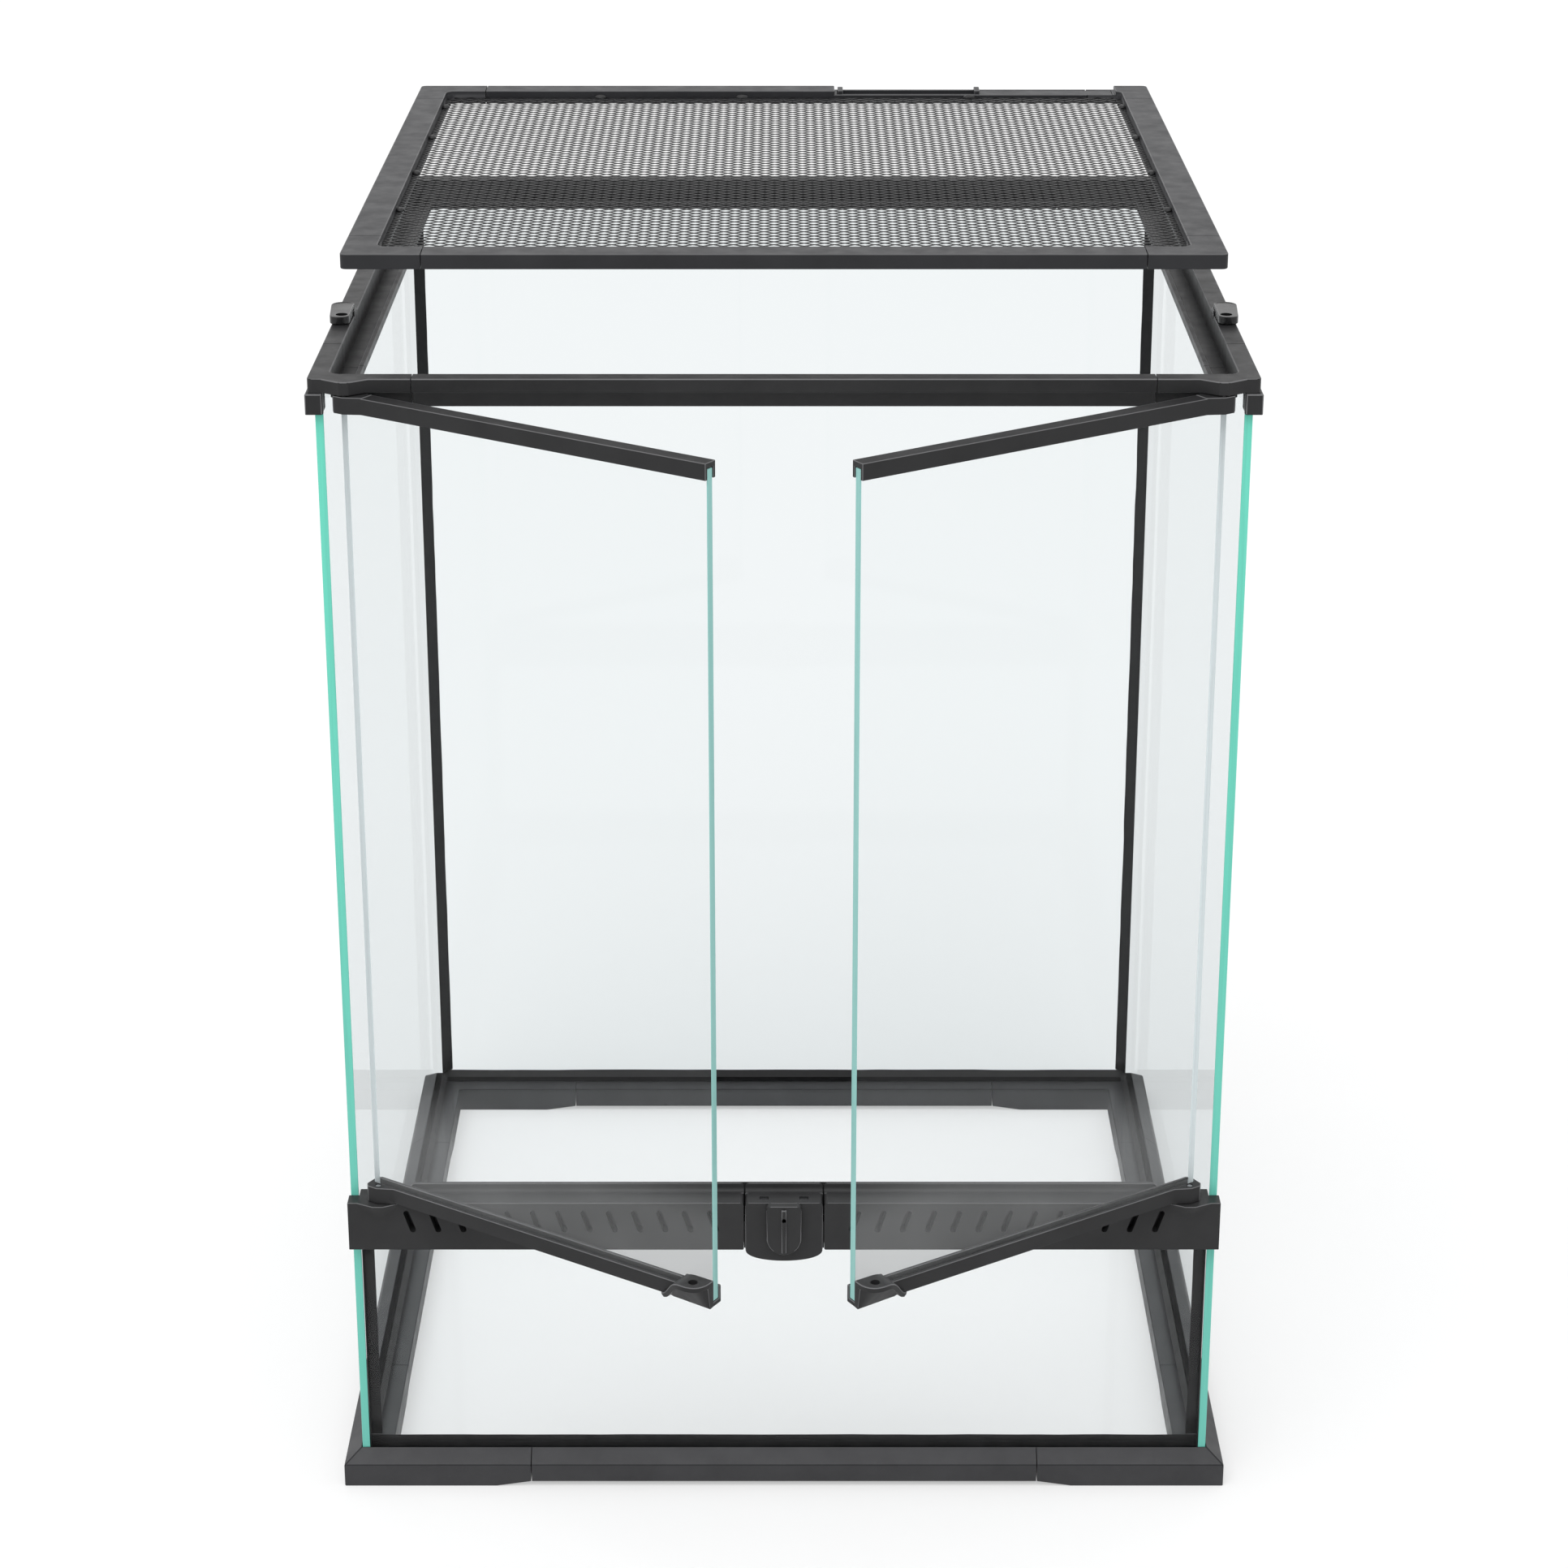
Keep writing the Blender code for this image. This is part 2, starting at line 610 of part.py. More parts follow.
def hinge_corner(piece, corner):
    """Opens the front leg's underside for the door, and gives it a lug with a pin hole."""
    clear = TOP_LIP + PANE + FIT
    wall = TOP_RIM - BASE_WALL
    deep = -2 * TOP_SKIRT
    reach = TOP_FRONT_LEG + TOP_RIM
    plate_low = -LEDGE_DROP - LEDGE_PLATE - FIT
    under = [
        box((clear, -TOP_RIM, deep), (reach, wall, -TOP_FACE)),
        box((clear + TOP_RIM, wall / 2, deep), (reach, LEDGE_IN + TOP_RIM, plate_low)),
    ]
    pin_x = TOP_W - HINGE_X
    pin_y = HINGE_Y + TOP_D
    lug = plan(
        [
            (pin_x - LUG_HALF, TOP_LIP / 2),
            (pin_x - LUG_HALF, 0),
            (pin_x - LUG_TIP, -LUG_PROUD),
            (pin_x + LUG_TIP, -LUG_PROUD),
            (pin_x + LUG_HALF, 0),
            (pin_x + LUG_HALF, TOP_LIP / 2),
        ],
        -TOP_FACE,
        0,
    )
    hole = rod(PIN_HOLE, -2 * TOP_FACE, PIN_DEPTH - TOP_FACE, (pin_x, pin_y))
    flip = corner == "front_right"
    for bm in (*under, lug, hole):
        if flip:
            swap = Matrix(((0, 1, 0, 0), (1, 0, 0, 0), (0, 0, 1, 0), (0, 0, 0, 1)))
            bmesh.ops.transform(bm, matrix=swap, verts=bm.verts)
            bmesh.ops.reverse_faces(bm, faces=bm.faces)
    for bm in under:
        cut(piece, bm)
    join(piece, lug)
    cut(piece, hole)


def vent_strip(tank):
    """The slotted strip over the low pane, with a lower hinge lug at each end."""
    groove_front = -HALF_D - FIT
    groove_back = -INNER_D + FIT
    back = groove_back + STRIP_BACK
    outline = [
        (STRIP_FRONT, STRIP_LOW),
        (groove_front, STRIP_LOW),
        (groove_front, STRIP_LOW + STRIP_GLASS),
        (groove_back, STRIP_LOW + STRIP_GLASS),
        (groove_back, STRIP_LOW),
        (back, STRIP_LOW),
        (back, STRIP_TOP),
        (groove_back, STRIP_TOP),
    ]
    for step in range(5):
        angle = math.pi / 2 * step / 4
        set_back = STRIP_COVE * (1 - math.cos(angle))
        rise = STRIP_COVE * (1 - math.sin(angle))
        outline.append((groove_back - set_back, SHELF + rise))
    outline.append((STRIP_FRONT, SHELF))
    end = HALF_W + STRIP_OVERHANG
    strip = add("vent_strip", section(outline, -end, end), "base_plastic", tank)
    ends = []
    for hand in (LEFT, RIGHT):
        x = hand * (INNER_W - FIT)
        low, high = sorted((x, hand * 2 * HALF_W))
        ends.append(box((low, groove_front, STRIP_LOW - FIT), (high, back + STRIP_COVE, STRIP_TOP + FIT)))
    cut(strip, merged(ends))
    over_hinges = []
    for hand in (LEFT, RIGHT):
        low, high = sorted((hand * UPSTAND_HALF, hand * 2 * HALF_W))
        over_hinges.append(box((low, 2 * STRIP_FRONT, SHELF), (high, back + STRIP_COVE, STRIP_TOP + STRIP_COVE)))
    cut(strip, merged(over_hinges))
    wide = HOUSING_HALF + HOUSING_SIDE
    deep = STRIP_FRONT + STRIP_RECESS
    cut(strip, box((-wide, 2 * STRIP_FRONT, STRIP_LOW - FIT), (wide, deep, STRIP_TOP)))
    for hand in (LEFT, RIGHT):
        middle = hand * HINGE_X
        inside = STRIP_FRONT + STRIP_COVE
        rim = [(LOW_LUG_HALF, inside), (LOW_LUG_HALF, STRIP_FRONT), (LOW_LUG_TIP, STRIP_FRONT - LOW_LUG_PROUD)]
        heel = [(LOW_LUG_TIP, inside), (LOW_LUG_TIP, STRIP_FRONT)]
        lug = bmesh.new()
        for corners, drop in ((rim, 0), (rim, LOW_LUG_RIM), (heel, LOW_LUG_HEIGHT)):
            for across, y in corners:
                lug.verts.new((middle - across, y, SHELF - drop))
                lug.verts.new((middle + across, y, SHELF - drop))
        bmesh.ops.convex_hull(lug, input=lug.verts)
        join(strip, lug)
    holes = [
        rod(PIN_HOLE, SHELF - PIN_DEPTH - FIT, SHELF + STRIP_COVE, (hand * HINGE_X, HINGE_Y))
        for hand in (LEFT, RIGHT)
    ]
    cut(strip, merged(holes))
    cut(strip, merged(slots(back)))


def slots(back):
    """Slanted air slots, leaning the other way on each half."""
    made = []
    wide = SLOT_WIDTH / 2
    tall = SLOT_LENGTH / 2
    for hand in (LEFT, RIGHT):
        lean = Matrix.Rotation(hand * SLOT_LEAN, 4, "Y")
        for count in range(SLOT_COUNT):
            x = hand * (SLOT_FIRST + count * SLOT_PITCH)
            slot = box((-wide, STRIP_FRONT - FIT, -tall), (wide, back + FIT, tall))
            place = Matrix.Translation((x, 0, STRIP_TOP - SLOT_DROP)) @ lean
            bmesh.ops.transform(slot, matrix=place, verts=slot.verts)
            made.append(slot)
    return made


def door(hand, tank):
    """One glass door with its rails, handle and pins, drawn along +X from the pin axis."""
    side = "left" if hand == LEFT else "right"
    axis = empty(f"{side}_door_axis", (hand * HINGE_X, HINGE_Y, 0), hand * DOOR_OPEN, tank)
    glass_front = DOOR_GLASS_FRONT
    glass_back = glass_front + PANE
    hinge_edge = HINGE_WALL + FIT - HINGE_BACK
    glass_low = DOOR_BOTTOM + RAIL_WEB + FIT
    glass_high = DOOR_TOP - RAIL_WEB - FIT
    glass = box((hinge_edge, glass_front, glass_low), (GLASS_TIP, glass_back, glass_high))
    add(f"{side}_door_glass", mirrored(glass, hand), "pane_glass", axis)
    groove = (hinge_edge - FIT, glass_front - FIT), (DOOR_LENGTH + FIT, glass_back + FIT)
    handle_start = DOOR_LENGTH - HANDLE_LENGTH

    def rail(name, low, high, end, block_low, block_high, groove_low, groove_high):
        body = box((HINGE_TAPER, RAIL_FRONT, low), (end, RAIL_FRONT + RAIL_THICK, high))
        piece = add(f"{side}_door_{name}", mirrored(body, hand), "door_plastic", axis)
        rear = RAIL_FRONT + RAIL_THICK
        block = plan(
            [
                (-HINGE_BACK, -HINGE_BOSS + HINGE_CHAMFER),
                (-HINGE_BACK + HINGE_CHAMFER, -HINGE_BOSS),
                (HINGE_TAPER, -HINGE_BOSS),
                (HINGE_FORE, RAIL_FRONT + FIT),
                (HINGE_FORE, rear),
                (-HINGE_BACK + HINGE_CHAMFER, rear),
                (-HINGE_BACK, rear - HINGE_CHAMFER),
            ],
            block_low,
            block_high,
        )
        join(piece, mirrored(block, hand))
        cut(piece, mirrored(box((*groove[0], groove_low), (*groove[1], groove_high)), hand))
        cut(piece, mirrored(rod(PIN_HOLE, block_low - RAIL_HEIGHT, block_high + RAIL_HEIGHT), hand))
        return piece

    block_top = TOP_HEIGHT - TOP_FACE - FIT
    top_low = DOOR_TOP - RAIL_HEIGHT
    bottom_high = DOOR_BOTTOM + RAIL_HEIGHT
    rail("top_rail", top_low, DOOR_TOP, DOOR_LENGTH, top_low, block_top,
         top_low - RAIL_HEIGHT, DOOR_TOP - RAIL_WEB)
    rail("bottom_rail", DOOR_BOTTOM, bottom_high, handle_start - FIT, SHELF + FIT, bottom_high,
         DOOR_BOTTOM + RAIL_WEB, bottom_high + RAIL_HEIGHT)
    top_pin = rod(PIN, top_low + FIT, block_top + PIN_DEPTH)
    add(f"{side}_door_top_pin", top_pin, "steel", axis, smooth=True)
    bottom_pin = rod(PIN, SHELF - PIN_DEPTH, bottom_high - FIT)
    add(f"{side}_door_bottom_pin", bottom_pin, "steel", axis, smooth=True)
    handle(side, hand, axis, groove)


def handle(side, hand, axis, groove):
    """A finger pull on the door's lower corner: its front leans in under a plate with a padlock hole."""
    start = DOOR_LENGTH - HANDLE_LENGTH
    rear = RAIL_FRONT + RAIL_THICK
    top = DOOR_BOTTOM + HANDLE_HEIGHT
    ends = []
    for front, chamfer in (
        (RAIL_FRONT - HANDLE_FOOT, HANDLE_FOOT_CHAMFER),
        (RAIL_FRONT - HANDLE_PROUD, HANDLE_CHAMFER),
    ):
        ends.append(
            [
                (start, rear),
                (start, front + chamfer),
                (start + chamfer, front),
                (DOOR_LENGTH - chamfer, front),
                (DOOR_LENGTH, front + chamfer),
                (DOOR_LENGTH, rear),
            ]
        )
    body = plan(ends[1], DOOR_BOTTOM, top)
    for vert in body.verts:
        if vert.co.z < top - FIT:
            spot = min(range(len(ends[1])), key=lambda i: (vert.co.xy - Vector(ends[1][i])).length)
            vert.co.xy = ends[0][spot]
    piece = add(f"{side}_door_handle", mirrored(body, hand), "door_plastic", axis)
    peg_slot = box(
        (start + HANDLE_ROOT, PEG_SLOT_FRONT, DOOR_BOTTOM - FIT),
        (DOOR_LENGTH - HANDLE_WALL, PEG_SLOT_BACK, DOOR_BOTTOM + RAIL_WEB + FIT),
    )
    cut(piece, mirrored(peg_slot, hand))
    slot = box((start - FIT, groove[0][1], DOOR_BOTTOM + RAIL_WEB), (groove[1][0], groove[1][1], top + FIT))
    cut(piece, mirrored(slot, hand))
    behind = box((start - FIT, groove[1][1] - FIT, DOOR_BOTTOM + HANDLE_BACK_HEIGHT),
                 (DOOR_LENGTH + FIT, rear + FIT, top + FIT))
    cut(piece, mirrored(behind, hand))
    hole_x = DOOR_LENGTH - LOCK_HOLE_INSET
    hole = rod(LOCK_HOLE, top - LOCK_HOLE_DEEP, top + HANDLE_PLATE, (hole_x, -LOCK_HOLE_SET))
    cut(piece, mirrored(hole, hand))
    rib = [(start + HANDLE_WALL, DOOR_BOTTOM + RAIL_WEB)]
    for step in range(6):
        angle = math.pi / 2 * step / 5
        rib.append(
            (
                start - HANDLE_RIB * (1 - math.sin(angle)),
                top - HANDLE_PLATE - (HANDLE_HEIGHT - RAIL_WEB - 2 * HANDLE_PLATE) * math.cos(angle),
            )
        )
    rib.append((start + HANDLE_WALL, top - HANDLE_PLATE))
    fin = front_view(rib, RAIL_FRONT - FIT - HANDLE_WALL, RAIL_FRONT - FIT)
    join(piece, mirrored(fin, hand))


def lock(tank):
    """Housing, knob, spindle with a crank, and the bar whose pegs rise into the handles."""
    low = STRIP_LOW - HOUSING_DROP
    shoulder = low + HOUSING_BULGE
    outline = [(HOUSING_HALF, SHELF), (-HOUSING_HALF, SHELF)]
    for step in range(9):
        across = -1 + step / 4
        outline.append((HOUSING_HALF * across, shoulder - HOUSING_BULGE * (1 - across * across)))
    shell = front_view(outline, HOUSING_FRONT, HOUSING_BACK)
    housing = add("lock_housing", shell, "lock_plastic", tank)
    pocket_half = BAR_HALF + FIT
    pocket_top = SHELF - HOUSING_ROOF
    bar_low = KNOB_Z - BAR_LOW
    bar_top = KNOB_Z + BAR_HIGH
    pocket = box((-pocket_half, POCKET_FRONT, bar_low - FIT), (pocket_half, HOUSING_BACK + FIT, pocket_top))
    cut(housing, pocket)
    cut(housing, rod(SPINDLE + FIT, HOUSING_FRONT - FIT, POCKET_FRONT + FIT, (0, KNOB_Z), "Y"))
    bar_back = HOUSING_BACK - FIT
    bar_front = bar_back - BAR_THICK
    pegs = []
    for hand in (LEFT, RIGHT):
        low_x = hand * PEG_X - PEG_HALF
        high_x = hand * PEG_X + PEG_HALF
        pegs.append(box((low_x, bar_front, bar_top - FIT), (high_x, bar_back, SHELF - FIT)))
        window = box(
            (low_x - FIT, bar_front - FIT, pocket_top - FIT),
            (high_x + FIT, HOUSING_BACK + FIT, SHELF + FIT),
        )
        cut(housing, window)
    slide = empty("latch_bar_axis", (0, 0, 0), 0, tank)
    plate = box((-BAR_HALF, bar_front, bar_low), (BAR_HALF, bar_back, bar_top))
    bar = add("latch_bar", plate, "steel", slide)
    for peg in pegs:
        join(bar, peg)
    play = CRANK_PIN + FIT
    cut(
        bar,
        box(
            (-play, bar_front - FIT, KNOB_Z - CRANK_PIN - CRANK_PLAY),
            (CRANK_THROW + play, bar_back + FIT, KNOB_Z + CRANK_PIN + CRANK_PLAY),
        ),
    )
    axis = empty("lock_knob_axis", (0, HOUSING_FRONT, KNOB_Z), 0, tank)
    depth = POCKET_FRONT - HOUSING_FRONT
    stem = rod(SPINDLE, -FIT / 2, depth + FIT, along="Y")
    spindle = add("lock_spindle", stem, "steel", axis, smooth=True)
    crank_back = depth + FIT + CRANK_THICK
    join(spindle, rod(CRANK, depth + FIT, crank_back, along="Y", sides=24))
    pin_back = bar_back - HOUSING_FRONT - FIT
    join(spindle, rod(CRANK_PIN, crank_back - FIT, pin_back, (CRANK_THROW, 0), "Y", 12))
    knob_outline = [
        (-KNOB_HALF, KNOB_RISE - KNOB_CHAMFER),
        (KNOB_CHAMFER - KNOB_HALF, KNOB_RISE),
        (KNOB_HALF - KNOB_CHAMFER, KNOB_RISE),
        (KNOB_HALF, KNOB_RISE - KNOB_CHAMFER),
        (KNOB_HALF, -KNOB_SHOULDER),
        (KNOB_TIP, -KNOB_FALL),
        (-KNOB_TIP, -KNOB_FALL),
        (-KNOB_HALF, -KNOB_SHOULDER),
    ]
    back = -FIT
    front = back - KNOB_THICK
    knob = add("lock_knob", front_view(knob_outline, front, back), "lock_plastic", axis)
    reach = KNOB_RISE - RIDGE_HALF
    join(knob, box((-RIDGE_HALF, front - RIDGE_PROUD, -reach), (RIDGE_HALF, front + RIDGE_PROUD, reach)))


def lid_section():
    """The lid's rim, with a flange under its inner edge that carries the screen."""
    return [
        (0, 0),
        (0, LID_HEIGHT),
        (LID_RIM, LID_HEIGHT),
        (LID_RIM, LID_HEIGHT - LID_SET),
        (LID_RIM + LID_FLANGE, LID_HEIGHT - LID_SET),
        (LID_RIM + LID_FLANGE, LID_HEIGHT - LID_SET - LID_FLANGE_THICK),
        (LID_RIM, LID_HEIGHT - LID_SET - LID_FLANGE_THICK),
        (LID_RIM, 0),
    ]


def lid(tank):
    """The lifted lid: corner pieces, rails, screen and the two gates over the cable inlets."""
    axis = empty("lid_axis", (0, 0, LID_SEAT + LID_RAISE), 0, tank)
    rounds = ((0, LID_ROUND), (LID_RIM, INNER_ROUND))
    for corner in CORNERS:
        place, turn = around(corner, LID_W, LID_D)
        across = NOTCH_INSET + NOTCH_SEAM if corner == "back_right" else LID_LEG
        leg_x, leg_y = legs(corner, across, LID_LEG)
        bm = mitred(lid_section(), leg_x, leg_y, rounds)
        piece = add(f"lid_corner_{corner}", bm, "lid_plastic", axis, place, turn)
        if corner == "back_right":
            lower_rim(piece, NOTCH_INSET, 2 * across)
    half_w = LID_W - LID_LEG - FIT
    half_d = LID_D - LID_LEG - FIT
    for side, half in (("front", half_w), ("left", half_d), ("right", half_d)):
        place, turn = around(side, LID_W, LID_D)
        add(f"lid_rail_{side}", section(lid_section(), -half, half), "lid_plastic", axis, place, turn)
    back_rail(axis, half_w)
    screen(axis)


def channel_floor():
    """Height of the floor that the gates slide on."""
    return LID_HEIGHT - NOTCH_DROP - FIT - 2 * (GATE_THICK + FIT)


def lower_rim(piece, start, end):
    """Lowers the rim's top between two places along it, and sinks the gates' channel into it."""
    high = LID_HEIGHT + FIT
    cut(piece, box((start, -FIT, LID_HEIGHT - NOTCH_DROP), (end, LID_RIM + 2 * LID_FLANGE, high)))
    far = LID_RIM - NOTCH_WALL
    cut(piece, box((start + NOTCH_WALL, NOTCH_WALL, channel_floor()), (end - NOTCH_WALL, far, high)))


def back_rail(axis, half):
    """The back rail: full height on the left, and a low channel with two windows on the right."""
    place, turn = around("back", LID_W, LID_D)
    right_end = LID_W - NOTCH_INSET - NOTCH_SEAM - FIT
    rail = add("lid_rail_back", section(lid_section(), -right_end, half), "lid_plastic", axis, place, turn)
    notch_end = LID_W - NOTCH_INSET
    notch_start = notch_end - NOTCH_LENGTH
    lower_rim(rail, -2 * LID_W, -notch_start)
    gate_near = LID_RIM - NOTCH_WALL - FIT
    gate_far = NOTCH_WALL + FIT
    middle = (gate_near + gate_far) / 2
    first = notch_start + NOTCH_WALL + FIT
    last = notch_end - NOTCH_WALL - FIT
    lower = channel_floor() + FIT
    upper = lower + GATE_THICK + FIT
    gates = (
        ("cable_gate_left", first, lower),
        ("cable_gate_right", last - GATE_LENGTH, upper),
    )
    for name, x, z in gates:
        near_end = -x - GATE_LENGTH / 2 + GATE_WINDOW / 2
        window = box(
            (near_end - GATE_WINDOW, middle - GATE_WINDOW_DEPTH / 2, -FIT),
            (near_end, middle + GATE_WINDOW_DEPTH / 2, lower),
        )
        cut(rail, window)
        plate = box((0, -gate_near, z), (GATE_LENGTH, -gate_far, z + GATE_THICK))
        gate = add(name, plate, "lid_plastic", axis, (x, LID_D, 0))
        join(gate, box((0, -gate_near, z + GATE_THICK / 2), (GATE_TAB, -gate_far, LID_HEIGHT - FIT)))


def screen(axis):
    """A flat net of stretched diamonds, cut to the lid with clipped corners."""
    half_w = LID_W - LID_RIM - SCREEN_EDGE
    half_d = LID_D - LID_RIM - SCREEN_EDGE
    bm = bmesh.new()
    cells = 2 * math.ceil(2 * max(LID_W, LID_D) / MESH_HIGH)
    bmesh.ops.create_grid(bm, x_segments=cells, y_segments=cells, size=cells / math.sqrt(8))
    bmesh.ops.rotate(bm, cent=(0, 0, 0), matrix=Matrix.Rotation(math.pi / 4, 3, "Z"), verts=bm.verts)
    bmesh.ops.scale(bm, vec=(MESH_WIDE, MESH_HIGH, 1), verts=bm.verts)
    reach = max(half_w, half_d) + MESH_WIDE
    far = [f for f in bm.faces if max(abs(c) for c in f.calc_center_median().xy) > reach]
    bmesh.ops.delete(bm, geom=far, context="FACES")
    bmesh.ops.inset_individual(bm, faces=bm.faces, thickness=STRAND, use_even_offset=True)
    middles = [f for f in bm.faces if f.calc_area() > MESH_WIDE * MESH_HIGH / 4]
    bmesh.ops.delete(bm, geom=middles, context="FACES")
    clip = half_w + half_d - INNER_ROUND
    planes = [((1, 0, 0), half_w), ((-1, 0, 0), half_w), ((0, 1, 0), half_d), ((0, -1, 0), half_d)]
    planes += [((x, y, 0), clip / 2) for x in (1, -1) for y in (1, -1)]
    for normal, reach in planes:
        geom = list(bm.verts) + list(bm.edges) + list(bm.faces)
        bmesh.ops.bisect_plane(
            bm, geom=geom, plane_co=Vector(normal) * reach, plane_no=normal, clear_outer=True
        )
    keep_largest(bm)
    grown = bmesh.ops.extrude_face_region(bm, geom=list(bm.faces))
    moved = [item for item in grown["geom"] if isinstance(item, bmesh.types.BMVert)]
    bmesh.ops.translate(bm, vec=(0, 0, SCREEN_THICK), verts=moved)
    bmesh.ops.recalc_face_normals(bm, faces=bm.faces)
    add("mesh_screen", bm, "screen_metal", axis, (0, 0, LID_HEIGHT - LID_SET + FIT))


def keep_largest(bm):
    """Drops crumbs that the trimming cut off from the net."""
    left = set(bm.faces)
    groups = []
    while left:
        stack = [left.pop()]
        group = list(stack)
        while stack:
            face = stack.pop()
            for edge in face.edges:
                for other in edge.link_faces:
                    if other in left:
                        left.remove(other)
                        stack.append(other)
                        group.append(other)
        groups.append(group)
    groups.sort(key=len)
    for group in groups[:-1]:
        bmesh.ops.delete(bm, geom=group, context="FACES")


def lid_latch(hand, tank):
    """A swivel latch on a side rail: it turns inwards, and its foot comes over the seated lid."""
    side = "left" if hand == LEFT else "right"
    axis = empty(f"lid_latch_{side}_axis", (hand * LATCH_X, LATCH_Y, TOP_HEIGHT), 0, tank)
    rim_edge = LATCH_X - TOP_W + TOP_RIM  # inner edge of the rail's top face, from the pivot
    inner = rim_edge - LATCH_INSET
    outer = inner - LATCH_WIDE
    low = FIT
    high = low + LATCH_THICK
    profile = [
        (-LATCH_TAIL, low),
        (-LATCH_TAIL, high),
        (LATCH_FOOT_START, high),
        (LATCH_REACH, low + LATCH_END_THICK),
        (LATCH_REACH, low),
    ]
    body = extruded(profile, lambda y, z: (outer, y, z), (LATCH_WIDE, 0, 0))
    ends = [e for e in body.edges if (e.verts[0].co.xy - e.verts[1].co.xy).length < 1e-6]
    bmesh.ops.bevel(
        body, geom=ends, offset=LATCH_ROUND, segments=3, profile=0.5, affect="EDGES", material=-1
    )
    piece = add(f"lid_latch_{side}", mirrored(body, hand), "frame_plastic", axis)
    foot_low = LID_SEAT + LID_HEIGHT + LATCH_FOOT_CLEAR - TOP_HEIGHT
    foot_start = rim_edge + 2 * FIT
    foot_end = foot_start + LATCH_FOOT
    foot_back = LATCH_REACH - LATCH_ROUND
    foot_front = LATCH_FOOT_START
    arm = box((inner - LATCH_ROUND, foot_front, low + FIT), (foot_end, foot_back, low + LATCH_END_THICK - FIT))
    heel = box((foot_start, foot_front, foot_low), (foot_end, foot_back, low + 2 * FIT))
    join(piece, mirrored(arm, hand))
    join(piece, mirrored(heel, hand))
    seat = high - LATCH_SINK
    cut(piece, mirrored(rod(LATCH_BOLT + FIT, -FIT, high + FIT), hand))
    cut(piece, mirrored(rod(LATCH_BOLT_HEAD + FIT, seat, high + FIT), hand))
    bolt = rod(LATCH_BOLT, -LATCH_BOLT_DEPTH, seat + 2 * FIT)
    pivot = add(f"latch_pivot_{side}", bolt, "steel", axis, smooth=True)
    join(pivot, rod(LATCH_BOLT_HEAD, seat + FIT, high - 2 * FIT))


clear_scene()
PIECES = collection("terrarium")
CUTTERS = collection("cutters")
TANK = empty("tank", (0, TANK_Y, 0))
base_frame(TANK)
panes(TANK)
seals(TANK)
top_frame(TANK)
vent_strip(TANK)
for door_hand in (LEFT, RIGHT):
    door(door_hand, TANK)
lock(TANK)
lid(TANK)
for latch_hand in (LEFT, RIGHT):
    lid_latch(latch_hand, TANK)
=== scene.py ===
import json
import math

import bmesh
import bpy
from mathutils import Matrix, Vector, noise

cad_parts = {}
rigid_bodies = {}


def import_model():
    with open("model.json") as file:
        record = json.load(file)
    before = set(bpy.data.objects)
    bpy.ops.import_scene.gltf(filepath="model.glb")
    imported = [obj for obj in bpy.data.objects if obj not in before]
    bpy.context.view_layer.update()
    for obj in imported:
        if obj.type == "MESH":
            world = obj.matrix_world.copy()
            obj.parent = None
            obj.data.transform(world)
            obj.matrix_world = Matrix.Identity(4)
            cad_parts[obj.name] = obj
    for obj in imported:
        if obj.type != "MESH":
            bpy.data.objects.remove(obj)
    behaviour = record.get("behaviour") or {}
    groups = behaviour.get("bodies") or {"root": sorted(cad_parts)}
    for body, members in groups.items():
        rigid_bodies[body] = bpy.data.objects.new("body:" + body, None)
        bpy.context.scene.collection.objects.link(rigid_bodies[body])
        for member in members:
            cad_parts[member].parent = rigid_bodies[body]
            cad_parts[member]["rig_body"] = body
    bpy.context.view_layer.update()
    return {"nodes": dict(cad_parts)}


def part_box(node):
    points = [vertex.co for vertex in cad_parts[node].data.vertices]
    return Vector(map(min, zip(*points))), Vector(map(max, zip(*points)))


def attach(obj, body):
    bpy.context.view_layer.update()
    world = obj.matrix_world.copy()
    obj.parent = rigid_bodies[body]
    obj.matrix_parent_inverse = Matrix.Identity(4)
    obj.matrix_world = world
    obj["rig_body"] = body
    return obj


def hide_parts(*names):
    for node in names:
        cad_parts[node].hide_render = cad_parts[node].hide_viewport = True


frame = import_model()
NODES = frame["nodes"]

# Sizes of the tank, in metres; its middle stands a little behind the origin
TANK_Y = 0.0589785
PANE = 0.004
FIT = 0.0003
HALF = 0.222
INNER = HALF - PANE
HINGE_X = 0.207
HINGE_Y = -0.2285
DOOR_OPEN = math.radians(33)
DOOR_LENGTH = 0.205
DOOR_BOTTOM = 0.1683
SHELF = 0.1673
STRIP_TOP = 0.1715
STRIP_LOW = 0.1405
STRIP_FRONT = -0.2312
HOUSING_BACK = -0.2242
KNOB_Z = 0.1542
TOP_HEIGHT = 0.600
LID_LOW = 0.6488
LID_HALF = 0.209
LID_RIM = 0.016
NET_Z = LID_LOW + 0.0074 - 0.0042 + FIT
LATCH_X = 0.2202
LATCH_Y = -0.118
LEFT, RIGHT = -1, 1

# The vent strip and its lock; depths are measured from the tank's middle
GROOVE_BACK = -INNER + FIT
UPSTAND = -0.2200
UPSTAND_WALL = 0.0022
BEHIND = -0.2150
AHEAD = STRIP_FRONT - 0.001
HINGE_END = 0.192
HINGE_HOLE = 0.00155
HOUSING_HALF = 0.0198
SEAM = 0.0206
SEAM_LINE = 0.0001
SLOT_COUNT = 13
SLOT_FIRST = 0.0364
SLOT_STEP = 0.01292
SLOT_DROP = 0.0148
SLOT_RADIUS = 0.00155
SLOT_HALF = 0.0049
SLOT_LEAN = math.radians(18.5)
PEG_X = 0.0102
PEG_WINDOW = 0.0023


# ---------------------------------------------------------------- finishes


